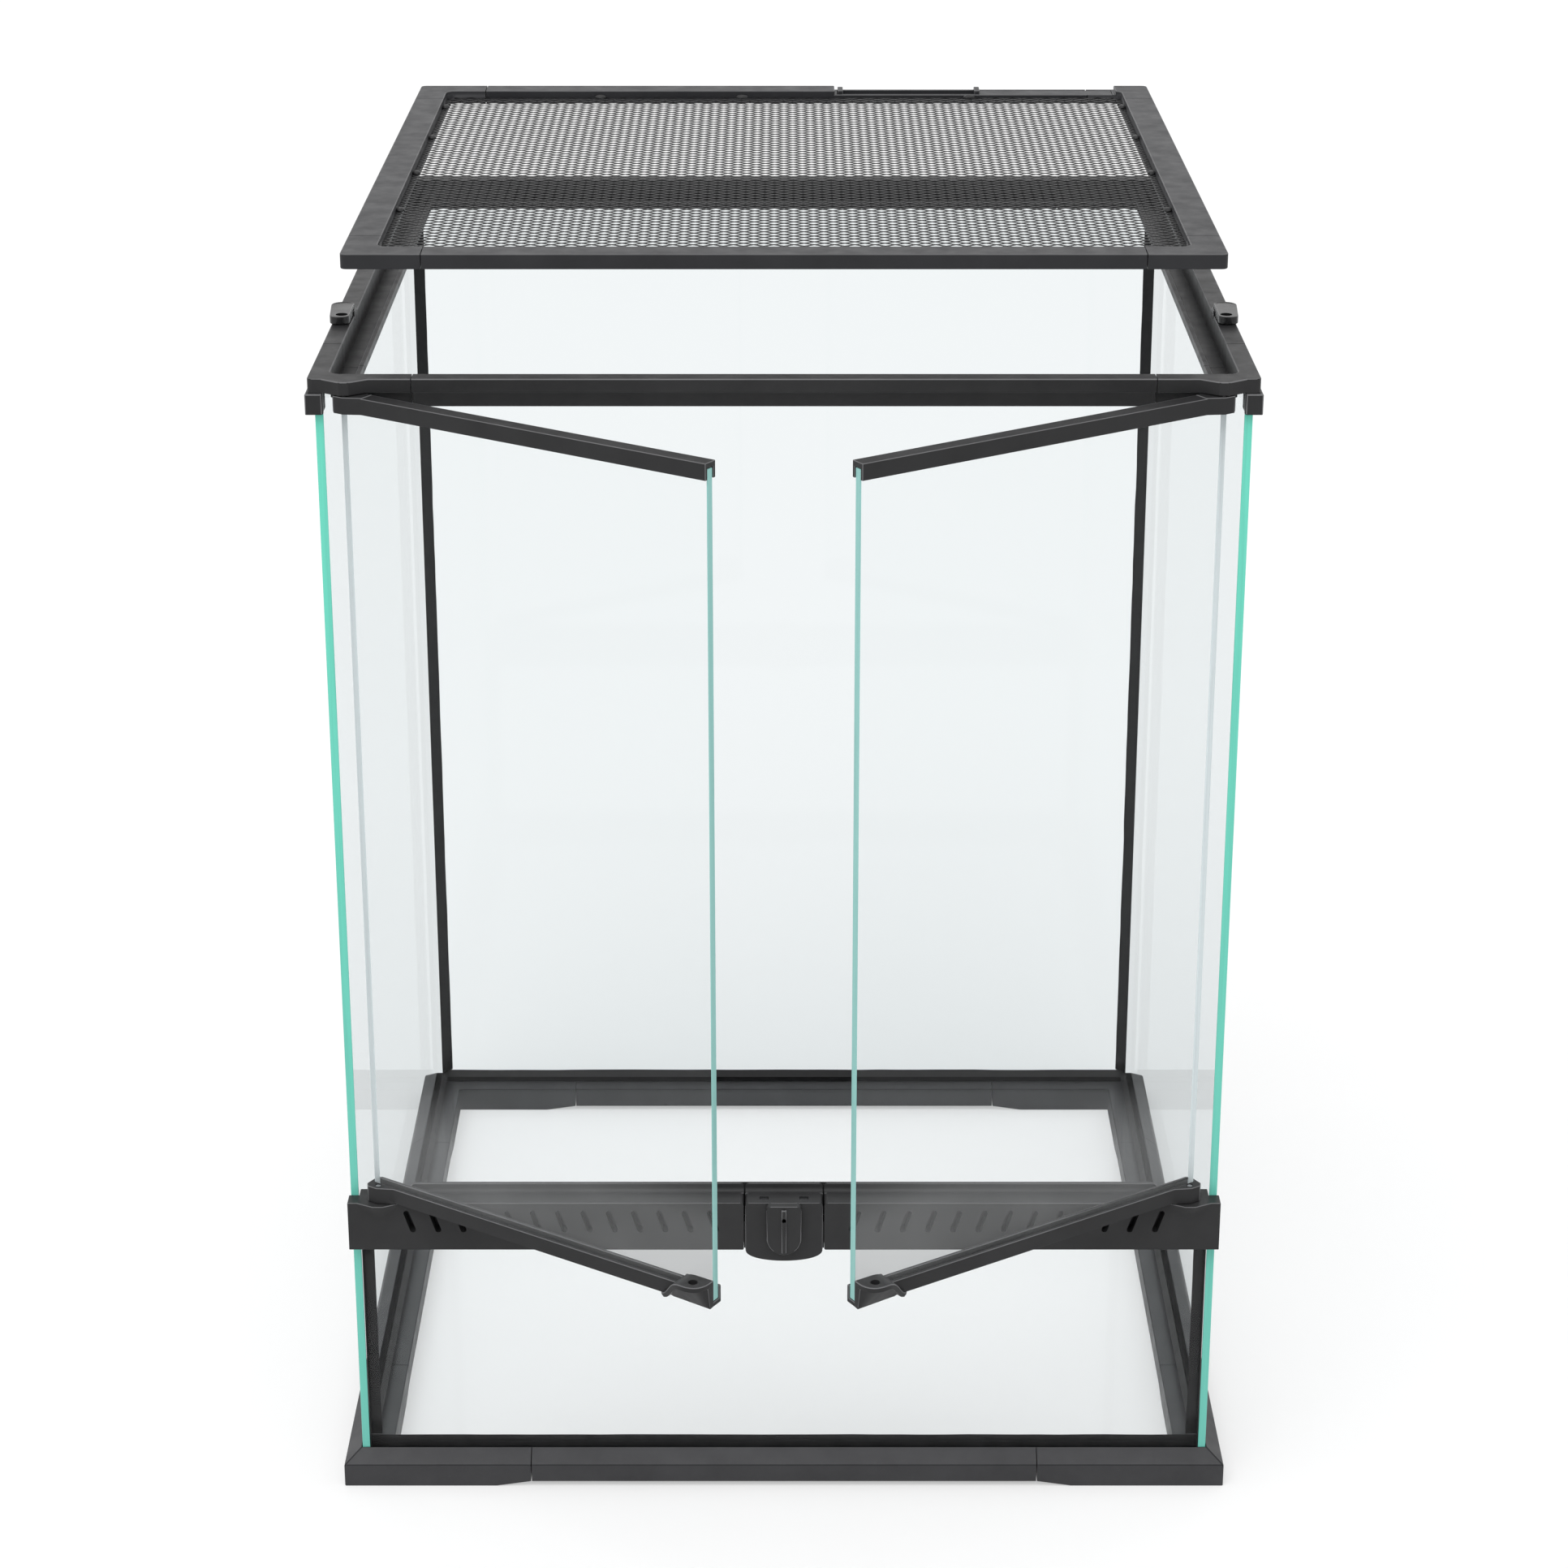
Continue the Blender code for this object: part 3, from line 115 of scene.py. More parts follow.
class Finish:
    """A material and short ways to wire its nodes."""

    def __init__(self, name):
        self.material = bpy.data.materials.new(name)
        self.material.use_nodes = True
        self.tree = self.material.node_tree
        self.shader = self.tree.nodes["Principled BSDF"]
        self.output = self.tree.nodes["Material Output"]
        self.place = self.add("ShaderNodeTexCoord").outputs["Object"]

    def add(self, kind, **settings):
        node = self.tree.nodes.new(kind)
        for key, value in settings.items():
            setattr(node, key, value)
        return node

    def link(self, start, end):
        self.tree.links.new(start, end)

    def stretched(self, scale):
        node = self.add("ShaderNodeMapping")
        self.link(self.place, node.inputs["Vector"])
        node.inputs["Scale"].default_value = scale
        return node.outputs["Vector"]

    def speckle(self, scale, detail=3.0, rough=0.55, vector=None):
        node = self.add("ShaderNodeTexNoise")
        self.link(vector or self.place, node.inputs["Vector"])
        node.inputs["Scale"].default_value = scale
        node.inputs["Detail"].default_value = detail
        node.inputs["Roughness"].default_value = rough
        return node.outputs["Fac"]

    def ramp(self, value, stops):
        node = self.add("ShaderNodeValToRGB")
        self.link(value, node.inputs["Fac"])
        elements = node.color_ramp.elements
        while len(elements) < len(stops):
            elements.new(0.5)
        for element, (position, colour) in zip(elements, stops):
            element.position = position
            element.color = (*colour, 1) if len(colour) == 3 else colour
        return node.outputs["Color"]

    def spread(self, value, low, high, start=0.0, end=1.0):
        node = self.add("ShaderNodeMapRange")
        self.link(value, node.inputs["Value"])
        node.inputs["From Min"].default_value = start
        node.inputs["From Max"].default_value = end
        node.inputs["To Min"].default_value = low
        node.inputs["To Max"].default_value = high
        return node.outputs["Result"]

    def mixed(self, amount, first, second):
        node = self.add("ShaderNodeMix", data_type="RGBA")
        self.link(amount, node.inputs["Factor"])
        for value, socket in ((first, node.inputs[6]), (second, node.inputs[7])):
            if isinstance(value, tuple):
                socket.default_value = (*value, 1)
            else:
                self.link(value, socket)
        return node.outputs[2]

    def bumps(self, *layers):
        last = None
        for height, depth, strength in layers:
            node = self.add("ShaderNodeBump")
            node.inputs["Strength"].default_value = strength
            node.inputs["Distance"].default_value = depth
            self.link(height, node.inputs["Height"])
            if last:
                self.link(last, node.inputs["Normal"])
            last = node.outputs["Normal"]
        self.link(last, self.shader.inputs["Normal"])

    def set(self, **values):
        for key, value in values.items():
            socket = self.shader.inputs[key.replace("_", " ")]
            socket.default_value = (*value, 1) if isinstance(value, tuple) else value


def shade(tone, factor):
    return tuple(channel * factor for channel in tone)


def moulded(name, tone, grain=2600.0, gloss=0.41, shine=0.2):
    """Injection-moulded plastic: a fine spark-eroded grain, soft cloudiness and a faint unevenness of sheen."""
    made = Finish(name)
    cloud = made.speckle(38.0, 4.0)
    fine = made.speckle(grain, 2.0, 0.6)
    body = made.ramp(cloud, [(0.3, shade(tone, 0.88)), (0.7, shade(tone, 1.12))])
    fleck = made.spread(fine, 0.0, 0.35, 0.62, 0.75)
    made.link(made.mixed(fleck, body, shade(tone, 2.0)), made.shader.inputs["Base Color"])
    made.link(made.spread(made.speckle(90.0, 3.0), gloss - 0.05, gloss + 0.07, 0.3, 0.7),
              made.shader.inputs["Roughness"])
    made.bumps((fine, 0.00004, 0.45), (cloud, 0.0002, 0.05))
    made.set(IOR=1.46, Specular_IOR_Level=shine)
    return made.material


def clear_glass(name, tint, mirror, dust=0.0, dust_low=0.0, low=(0.21, 0.24)):
    """A thin pane: what is behind shows tinted and unbent, a share is mirrored, and dust lies on it as a white veil."""
    made = Finish(name)
    smear = made.speckle(9.0, 3.0)
    made.link(made.ramp(smear, [(0.3, (0.92, 0.94, 0.95)), (0.7, (0.97, 0.99, 1.0))]),
              made.shader.inputs["Base Color"])
    made.set(IOR=1.5, Roughness=0.35)
    through = made.add("ShaderNodeBsdfTransparent")
    through.inputs["Color"].default_value = (*(math.sqrt(c) for c in tint), 1)
    gloss = made.add("ShaderNodeBsdfAnisotropic")
    gloss.inputs["Roughness"].default_value = 0.0
    aslant = made.add("ShaderNodeLayerWeight")
    steep = made.add("ShaderNodeMath", operation="POWER")
    made.link(aslant.outputs["Facing"], steep.inputs[0])
    steep.inputs[1].default_value = 5.0
    clean = made.add("ShaderNodeMixShader")
    made.link(made.spread(steep.outputs[0], 0.04 * mirror, mirror), clean.inputs["Fac"])
    made.link(through.outputs["BSDF"], clean.inputs[1])
    made.link(gloss.outputs["BSDF"], clean.inputs[2])
    height = made.add("ShaderNodeSeparateXYZ")
    made.link(made.place, height.inputs["Vector"])
    amount = made.add("ShaderNodeMath", operation="MULTIPLY")
    made.link(made.spread(smear, 0.7, 1.3, 0.3, 0.7), amount.inputs[0])
    made.link(made.spread(height.outputs["Z"], dust_low, dust, *low), amount.inputs[1])
    veiled = made.add("ShaderNodeMixShader")
    made.link(amount.outputs[0], veiled.inputs["Fac"])
    made.link(clean.outputs["Shader"], veiled.inputs[1])
    made.link(made.shader.outputs["BSDF"], veiled.inputs[2])
    made.link(veiled.outputs["Shader"], made.output.inputs["Surface"])
    return made.material


def glass_edge(name, upper, lower):
    """The green of a ground and polished edge, deeper towards the foot, with faint streaks."""
    made = Finish(name)
    height = made.add("ShaderNodeSeparateXYZ")
    made.link(made.place, height.inputs["Vector"])
    rise = made.spread(height.outputs["Z"], 0.0, 1.0, 0.0, 0.6)
    tone = made.mixed(rise, lower, upper)
    streak = made.speckle(1.0, 3.0, 0.6, made.stretched((900.0, 900.0, 14.0)))
    deep = made.mixed(made.spread(streak, 0.0, 0.3, 0.45, 0.75), tone, shade(lower, 0.7))
    made.link(deep, made.shader.inputs["Base Color"])
    made.link(made.spread(streak, 0.12, 0.3), made.shader.inputs["Roughness"])
    made.bumps((streak, 0.00008, 0.25))
    made.set(IOR=1.5, Specular_IOR_Level=0.3)
    return made.material


def silicone_rubber():
    made = Finish("silicone bead")
    lumps = made.speckle(140.0, 3.0)
    made.link(made.ramp(lumps, [(0.3, (0.008, 0.008, 0.009)), (0.75, (0.016, 0.016, 0.017))]),
              made.shader.inputs["Base Color"])
    made.link(made.spread(lumps, 0.32, 0.5, 0.3, 0.7), made.shader.inputs["Roughness"])
    made.bumps((lumps, 0.0004, 0.3), (made.speckle(900.0), 0.00005, 0.3))
    made.set(IOR=1.41, Specular_IOR_Level=0.25)
    return made.material


def coated_metal(name, tone, metallic, rough):
    made = Finish(name)
    pits = made.speckle(1400.0, 3.0)
    made.link(made.ramp(pits, [(0.35, shade(tone, 0.75)), (0.7, shade(tone, 1.3))]),
              made.shader.inputs["Base Color"])
    made.link(made.spread(pits, rough - 0.08, rough + 0.08, 0.3, 0.7), made.shader.inputs["Roughness"])
    made.bumps((pits, 0.00003, 0.5))
    made.set(Metallic=metallic, Specular_IOR_Level=0.3)
    return made.material


BLACK = (0.027, 0.027, 0.028)
STRIP = (0.033, 0.033, 0.034)
BASE = (0.052, 0.052, 0.055)
LID = (0.029, 0.0293, 0.032)
# a light tone painted on the rounded upper edges as a highlight, where the overhead light would catch them
PAINTED_EDGE_HIGHLIGHT = (0.15, 0.15, 0.155)
FINISHES = {
    "base_plastic": moulded("base plastic", BASE),
    # each _edge finish goes on the rounded edges that face up: on the base a painted shade, on the other parts a
    # painted highlight
    "base_plastic_edge": moulded("base plastic, shaded edges", (0.02, 0.02, 0.022)),
    "frame_plastic": moulded("frame plastic", BLACK),
    "frame_plastic_edge": moulded("frame plastic, rubbed edges", PAINTED_EDGE_HIGHLIGHT),
    "door_plastic": moulded("door plastic", BLACK),
    "door_plastic_edge": moulded("door plastic, rubbed edges", PAINTED_EDGE_HIGHLIGHT),
    "lid_plastic": moulded("lid plastic", LID),
    "lid_plastic_edge": moulded("lid plastic, rubbed edges", shade(PAINTED_EDGE_HIGHLIGHT, 0.7)),
    "lock_plastic": moulded("lock plastic", STRIP),
    "lock_plastic_edge": moulded("lock plastic, rubbed edges", PAINTED_EDGE_HIGHLIGHT),
    "latch_plastic": moulded("latch plastic", (0.012, 0.012, 0.013), gloss=0.22, shine=0.35),
    "latch_plastic_edge": moulded("latch plastic, rubbed edges", (0.06, 0.06, 0.062), gloss=0.25, shine=0.35),
    "silicone": silicone_rubber(),
    "pane_glass": clear_glass("pane glass", (0.835, 0.866, 0.874), 0.2, 0.002, 0.002),
    "floor_pane": clear_glass("floor glass", (0.985, 0.995, 0.998), 0.2, 0.002, 0.002),
    "low_pane": clear_glass("low front glass", (0.985, 0.99, 0.99), 0.2, 0.002, 0.002),
    "door_pane": clear_glass("door glass", (0.985, 0.99, 0.99), 0.2, 0.001, 0.05),
    "pane_edge": glass_edge("polished pane edge", (0.18, 0.82, 0.63), (0.18, 0.62, 0.52)),
    "door_edge": glass_edge("polished door edge", (0.34, 0.68, 0.64), (0.32, 0.62, 0.58)),
    "hinge_edge": glass_edge("ground door edge", (0.85, 0.92, 0.94), (0.82, 0.90, 0.92)),
    "screen_metal": coated_metal("painted screen", (0.010, 0.010, 0.011), 0.0, 0.45),
    "steel": coated_metal("steel", (0.45, 0.45, 0.46), 1.0, 0.32),
}


# ---------------------------------------------------------------- shaping

LYING = Matrix.Rotation(math.pi / 2, 4, "X")


def copied(node):
    """A CAD node's shape, merged and with its flat faces whole."""
    bm = bmesh.new()
    bm.from_mesh(NODES[node].data)
    for face in bm.faces:
        face.material_index = 0
    bmesh.ops.remove_doubles(bm, verts=bm.verts, dist=1e-5)
    bmesh.ops.dissolve_limit(bm, angle_limit=math.radians(0.6), verts=bm.verts, edges=bm.edges)
    return bm


def soften(bm, radius, segments=3, over=28.0, wanted=lambda edge: True, rubbed=-0.2):
    """Rounds the outer edges; the rounded faces that look up more than the given tilt get the second finish, which
    paints a highlight on them (a painted shade on the base).
    """
    edges = [
        e for e in bm.edges
        if len(e.link_faces) == 2 and e.is_convex and e.calc_face_angle(0) > math.radians(over) and wanted(e)
    ]
    made = bmesh.ops.bevel(bm, geom=edges, affect="EDGES", offset=radius, offset_type="OFFSET", segments=segments,
                           profile=0.5, material=1, clamp_overlap=False)
    bm.normal_update()
    # rounds that face down go back to the plain finish, so the painted highlight stays on the upper edges
    for face in made["faces"]:
        if face.normal.z < rubbed:
            face.material_index = 0
    return bm


def box(low, high):
    bm = bmesh.new()
    size = Vector(high) - Vector(low)
    middle = (Vector(high) + Vector(low)) / 2
    bmesh.ops.create_cube(bm, size=1, matrix=Matrix.Translation(middle) @ Matrix.Diagonal((*size, 1)))
    return bm


def rod(radius, depth, place, segments=32):
    bm = bmesh.new()
    bmesh.ops.create_cone(bm, cap_ends=True, segments=segments, radius1=radius, radius2=radius, depth=depth,
                          matrix=place)
    return bm


def quarter(u, v, across, along, radius, steps=6):
    """The points of a rounded corner at u, v that points across and along."""
    points = []
    for step in range(steps + 1):
        angle = math.pi / 2 * step / steps
        points.append((u - across * radius * (1 - math.cos(angle)), v - along * radius * (1 - math.sin(angle))))
    return points


def pulled(outline, place, run):
    """A closed outline put in space by place(u, v) and pulled along run."""
    bm = bmesh.new()
    face = bm.faces.new([bm.verts.new(place(u, v)) for u, v in outline])
    grown = bmesh.ops.extrude_face_region(bm, geom=[face])
    bmesh.ops.translate(bm, vec=run, verts=[v for v in grown["geom"] if isinstance(v, bmesh.types.BMVert)])
    bmesh.ops.recalc_face_normals(bm, faces=bm.faces)
    return bm


def joined(*parts):
    """Several shapes in one mesh."""
    whole = bmesh.new()
    for part in parts:
        spare = bpy.data.meshes.new("spare")
        part.to_mesh(spare)
        part.free()
        whole.from_mesh(spare)
        bpy.data.meshes.remove(spare)
    return whole


def carved(bm, *steps):
    """Cuts or adds shapes one by one: each step is an operation and a shape."""
    whole = bpy.data.objects.new("whole", bpy.data.meshes.new("whole"))
    bm.to_mesh(whole.data)
    bm.free()
    bpy.context.scene.collection.objects.link(whole)
    tools = []
    for operation, tool_shape in steps:
        tool = bpy.data.objects.new("tool", bpy.data.meshes.new("tool"))
        tool_shape.to_mesh(tool.data)
        tool_shape.free()
        bpy.context.scene.collection.objects.link(tool)
        step = whole.modifiers.new(operation, "BOOLEAN")
        step.operation = operation
        step.solver = "EXACT"
        step.object = tool
        tools.append(tool)
    bpy.context.view_layer.update()
    graph = bpy.context.evaluated_depsgraph_get()
    result = bmesh.new()
    result.from_mesh(whole.evaluated_get(graph).to_mesh())
    for spare in (whole, *tools):
        mesh = spare.data
        bpy.data.objects.remove(spare, do_unlink=True)
        bpy.data.meshes.remove(mesh)
    bmesh.ops.remove_doubles(result, verts=result.verts, dist=2e-6)
    bmesh.ops.dissolve_limit(result, angle_limit=math.radians(0.6), verts=result.verts, edges=result.edges)
    return result


def on_tank(bm):
    bmesh.ops.translate(bm, vec=(0, TANK_Y, 0), verts=bm.verts)
    return bm


def mirror(bm):
    bmesh.ops.scale(bm, vec=(-1, 1, 1), verts=bm.verts)
    bmesh.ops.reverse_faces(bm, faces=bm.faces)


def on_door(bm, hand):
    """From the door's own place, drawn along +X from its pins, to where the open door stands."""
    if hand == RIGHT:
        mirror(bm)
    bmesh.ops.rotate(bm, cent=(0, 0, 0), matrix=Matrix.Rotation(hand * DOOR_OPEN, 3, "Z"), verts=bm.verts)
    bmesh.ops.translate(bm, vec=(hand * HINGE_X, HINGE_Y + TANK_Y, 0), verts=bm.verts)
    return bm


def piece(name, bm, body, finishes, stands_for=(), smooth=38.0, weighted=True):
    if isinstance(finishes, str):
        # the second finish paints light on the upward rounded edges: a highlight, and on the base a shade
        rubbed = f"{finishes}_edge"
        finishes = [finishes, rubbed] if rubbed in FINISHES else [finishes]
    mesh = bpy.data.meshes.new(name)
    bm.to_mesh(mesh)
    bm.free()
    mesh.shade_smooth()
    mesh.set_sharp_from_angle(angle=math.radians(smooth))
    for finish in finishes:
        mesh.materials.append(FINISHES[finish])
    made = bpy.data.objects.new(name, mesh)
    bpy.context.scene.collection.objects.link(made)
    if weighted:
        even = made.modifiers.new("even shading", "WEIGHTED_NORMAL")
        even.keep_sharp = True
    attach(made, body)
    if stands_for:
        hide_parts(*stands_for)
    return made


def softened(node, slot, radius, away=None, seams=(), **ways):
    """A CAD piece with its edges rounded as a mould leaves them, less the shape away.

    seams are ends, as (axis, place, inwards), that draw back a little so that a line shows there.
    """
    bm = copied(node)
    for axis, place, inwards in seams:
        for vert in bm.verts:
            if abs(vert.co[axis] - place) < 2e-5:
                vert.co[axis] += inwards * SEAM_LINE
    if away:
        bm = carved(bm, ("DIFFERENCE", away))
    soften(bm, radius, **ways)
    return piece(f"{node}_moulded", bm, NODES[node]["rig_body"], slot, [node])


# ---------------------------------------------------------------- pieces

CORNERS = ("front_left", "front_right", "back_right", "back_left")
SIDES = ("front", "right", "back", "left")


def framed(node, slot, radius, least):
    """A rail or a corner of a frame: the ends that meet the next piece stay crisp, with a thin line between."""
    low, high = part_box(node)
    middle = (low + high) / 2
    ends = []
    if "corner" in node:
        ends = [(0, high.x, -1) if middle.x < 0 else (0, low.x, 1),
                (1, high.y, -1) if middle.y < TANK_Y else (1, low.y, 1)]
    else:
        axis = 0 if high.x - low.x > high.y - low.y else 1
        ends = [(axis, low[axis], 1), (axis, high[axis], -1)]
    crisp = [(axis, place + inwards * SEAM_LINE) for axis, place, inwards in ends]

    def wanted(edge):
        butts = any(all(abs(v.co[axis] - place) < 2e-5 for v in edge.verts) for axis, place in crisp)
        return edge.calc_length() > least and not butts

    away = None
    if node.startswith("top_corner_front"):  # the gap between the hinge lug and the side pane stays open
        near, far = sorted(math.copysign(x, middle.x) for x in (0.2120, 0.2185))
        away = on_tank(box((near, -0.2190, 0.5800), (far, -0.1950, 0.59335)))
    # rounds that face up more than 0.25 take the painted edge highlight (a painted shade on the base)
    softened(node, slot, radius, away, ends, wanted=wanted, rubbed=0.25)


def frames():
    for kind, names in (("corner", CORNERS), ("rail", SIDES)):
        for name in names:
            framed(f"base_{kind}_{name}", "base_plastic", 0.0006, 0.0012)
            framed(f"top_{kind}_{name}", "frame_plastic", 0.0005, 0.0011 if kind == "corner" else 0.002)
            framed(f"lid_{kind}_{name}", "lid_plastic", 0.0005, 0.0011)
    for hand, side in ((LEFT, "left"), (RIGHT, "right")):
        near, far = sorted((hand * 0.2180, hand * 0.2262))
        cap = box((near, -0.2262, 0.5826), (far, -0.2130, 0.5928))
        soften(cap, 0.0006)
        piece(f"pane_cap_{side}", on_tank(cap), "tank", "frame_plastic")


def pane(node, across, finish, edge, place=on_tank, low=None, high=None, body="tank"):
    """A pane with ground edges; across is the axis of its thickness, edge says how a border face is finished."""
    bm = box(low, high)
    bmesh.ops.bevel(bm, geom=list(bm.edges), affect="EDGES", offset=0.0004, offset_type="OFFSET", segments=2,
                    profile=0.5, material=-1, clamp_overlap=False)
    finishes = [finish]
    bm.normal_update()
    for face in bm.faces:
        if abs(face.normal[across]) > 0.999:
            continue
        look = edge(face)
        if look not in finishes:
            finishes.append(look)
        face.material_index = finishes.index(look)
    piece(f"{node}_pane", place(bm), body, finishes, [node], smooth=30)


def panes():
    for node, across in (("floor_glass", 2), ("back_glass", 1), ("front_lower_glass", 1),
                         ("left_glass", 0), ("right_glass", 0)):
        low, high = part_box(node)
        finish = {"front_lower_glass": "low_pane", "floor_glass": "floor_pane"}.get(node, "pane_glass")

        def edge(face, across=across, low=low, high=high):
            spot = face.calc_center_median().y
            if across == 0 and spot - low.y < 0.0006:
                return "pane_edge"
            return "pane_glass" if across == 0 and high.y - spot < 0.0006 else "silicone"

        pane(node, across, finish, edge, lambda bm: bm, low, high)
    for hand, side in ((LEFT, "left"), (RIGHT, "right")):
        node = f"{side}_door_glass"
        bottom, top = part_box(node)
        low = (-0.0045, 0.0025, bottom.z)
        high = (DOOR_LENGTH - FIT, 0.0065, top.z)

        def edge(face):
            x = face.calc_center_median().x
            return "hinge_edge" if x < -0.004 else "door_edge" if x > DOOR_LENGTH - 0.001 else "silicone"

        pane(node, 1, "door_pane", edge, lambda bm, hand=hand: on_door(bm, hand), low, high, f"{side}_door")


def silicone():
    """Hand-tooled beads: the flanks waver a little along their length."""
    for node in [f"seal_{corner}" for corner in CORNERS] + ["floor_seal"]:
        bm = copied(node)
        upright = node != "floor_seal"
        low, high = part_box(node)
        axes = (2,) if upright else (0, 1)
        for axis in axes:
            steps = int((high[axis] - low[axis]) / 0.012)
            for count in range(1, steps):
                normal = Vector((0, 0, 0))
                normal[axis] = 1
                point = low.copy()
                point[axis] += (high[axis] - low[axis]) * count / steps
                bmesh.ops.bisect_plane(bm, geom=list(bm.verts) + list(bm.edges) + list(bm.faces),
                                       plane_co=point, plane_no=normal)
        middle = (low + high) / 2
        for vert in bm.verts:
            sway = noise.noise(vert.co * 45) * 0.0005
            if upright:
                vert.co.x += math.copysign(sway, low.x) if abs(vert.co.x) < INNER - 0.003 else 0
            elif vert.co.z > middle.z:
                vert.co.z += sway * 0.6 - 0.0002
        piece(f"{node}_bead", bm, "tank", "silicone", [node], smooth=60, weighted=False)


def corner(x, z, right, up, radius, start, end):
    """What a mould's rounding takes off a corner at x, z that points right and up."""
    over = 0.0006
    outline = [(x + right * over, z + up * over), (x + right * over, z - up * radius),
               *quarter(x, z, right, up, radius), (x - right * radius, z + up * over)]
    return pulled(outline, lambda u, v: (u, start, v), (0, end - start, 0))


def strip_section(low):
    """The strip from its front over the shelf to the upstand's top, down to low at the back."""
    back = GROOVE_BACK + UPSTAND_WALL
    return [(STRIP_FRONT, low), (back, low), (back, STRIP_TOP), (GROOVE_BACK, STRIP_TOP),
            *quarter(GROOVE_BACK, SHELF, 1, -1, 0.0022, 8), (STRIP_FRONT, SHELF)]


def vent_strip():
    back = GROOVE_BACK + UPSTAND_WALL
    end = HALF + 0.001
    strip = pulled(strip_section(STRIP_LOW), lambda y, z: (-end, y, z), (2 * end, 0, 0))
    groove = box((-HALF - 0.01, -HALF - FIT, STRIP_LOW - FIT), (HALF + 0.01, GROOVE_BACK, STRIP_LOW + 0.008))
    lock_bay = box((-SEAM, AHEAD, STRIP_LOW - FIT), (SEAM, HOUSING_BACK + FIT, STRIP_TOP + 0.001))
    over_lock = box((-SEAM, HOUSING_BACK - 0.001, 0.157), (SEAM, -0.2161, STRIP_TOP + 0.001))
    ends = []
    hinges = []
    rounds = []
    lugs = []
    slots = []
    pins = []
    for hand in (LEFT, RIGHT):
        low, high = sorted((hand * (INNER - FIT), hand * 0.5))
        ends.append(box((low, -HALF - FIT, STRIP_LOW - FIT), (high, back + 0.005, STRIP_TOP + FIT)))
        low, high = sorted((hand * HINGE_END, hand * 0.5))
        hinges.append(box((low, AHEAD, SHELF), (high, BEHIND, STRIP_TOP + 0.005)))
        rounds += [
            corner(hand * SEAM, SHELF, -hand, 1, 0.0018, AHEAD, UPSTAND - 0.0001),
            corner(hand * SEAM, STRIP_TOP, -hand, 1, 0.0018, UPSTAND, -0.2161),
            corner(hand * SEAM, STRIP_LOW, -hand, -1, 0.0009, AHEAD, HOUSING_BACK + 0.001),
            corner(hand * HINGE_END, STRIP_TOP, hand, 1, 0.0030, UPSTAND, BEHIND),
        ]
        lug = bmesh.new()
        rim = [(-0.0112, 0.002), (-0.0112, 0), (-0.0068, -0.0021), (-0.0026, -0.0043), (0.0026, -0.0043),
               (0.0068, -0.0021), (0.0112, 0), (0.0112, 0.002)]
        heel = [(-0.0020, 0.002), (-0.0020, 0), (0.0020, 0), (0.0020, 0.002)]
        for outline, drop in ((rim, 0), (rim, 0.0013), (heel, 0.0085)):
            for u, v in outline:
                lug.verts.new((hand * HINGE_X + u, STRIP_FRONT + v, SHELF - drop))
        bmesh.ops.convex_hull(lug, input=lug.verts)
        lugs.append(lug)
        for count in range(SLOT_COUNT):
            x = hand * (SLOT_FIRST + count * SLOT_STEP)
            for start, run in ((AHEAD, 0.0086), (-0.2215, 0.01)):
                slot = bmesh.new()
                bmesh.ops.create_circle(slot, cap_ends=True, segments=16, radius=SLOT_RADIUS,
                                        matrix=LYING)
                for vert in slot.verts:
                    vert.co.z += SLOT_HALF if vert.co.z > 0 else -SLOT_HALF
                grown = bmesh.ops.extrude_face_region(slot, geom=list(slot.faces))
                moved = [v for v in grown["geom"] if isinstance(v, bmesh.types.BMVert)]
                bmesh.ops.translate(slot, vec=(0, run, 0), verts=moved)
                bmesh.ops.recalc_face_normals(slot, faces=slot.faces)
                place = Matrix.Translation((x, start, STRIP_TOP - SLOT_DROP))
                bmesh.ops.transform(slot, matrix=place @ Matrix.Rotation(hand * SLOT_LEAN, 4, "Y"),
                                    verts=slot.verts)
                slots.append(slot)
        pins.append(rod(HINGE_HOLE, 0.02, Matrix.Translation((hand * HINGE_X, HINGE_Y, SHELF + 0.0042)), 24))
    whole = carved(strip, ("DIFFERENCE", groove), ("DIFFERENCE", lock_bay), ("DIFFERENCE", over_lock),
                   ("DIFFERENCE", joined(*ends)), ("DIFFERENCE", joined(*hinges)),
                   ("DIFFERENCE", joined(*rounds)), ("UNION", joined(*lugs)), ("DIFFERENCE", joined(*pins)))
    # rounds that face up more than 0.25 take the painted edge highlight
    soften(whole, 0.0003, 2, 40.0, lambda e: e.calc_length() > 0.0006, 0.25)
    whole = carved(whole, ("DIFFERENCE", joined(*slots)))
    piece("vent_strip_moulded", on_tank(whole), "tank", "lock_plastic", ["vent_strip"])


def swept(sections):
    """A solid through a row of closed outlines with the same number of corners."""
    bm = bmesh.new()
    rings = [[bm.verts.new(point) for point in section] for section in sections]
    for first, second in zip(rings, rings[1:]):
        for i in range(len(first)):
            j = (i + 1) % len(first)
            bm.faces.new((first[i], first[j], second[j], second[i]))
    bm.faces.new(rings[0])
    bm.faces.new(rings[-1])
    bmesh.ops.recalc_face_normals(bm, faces=bm.faces)
    return bm


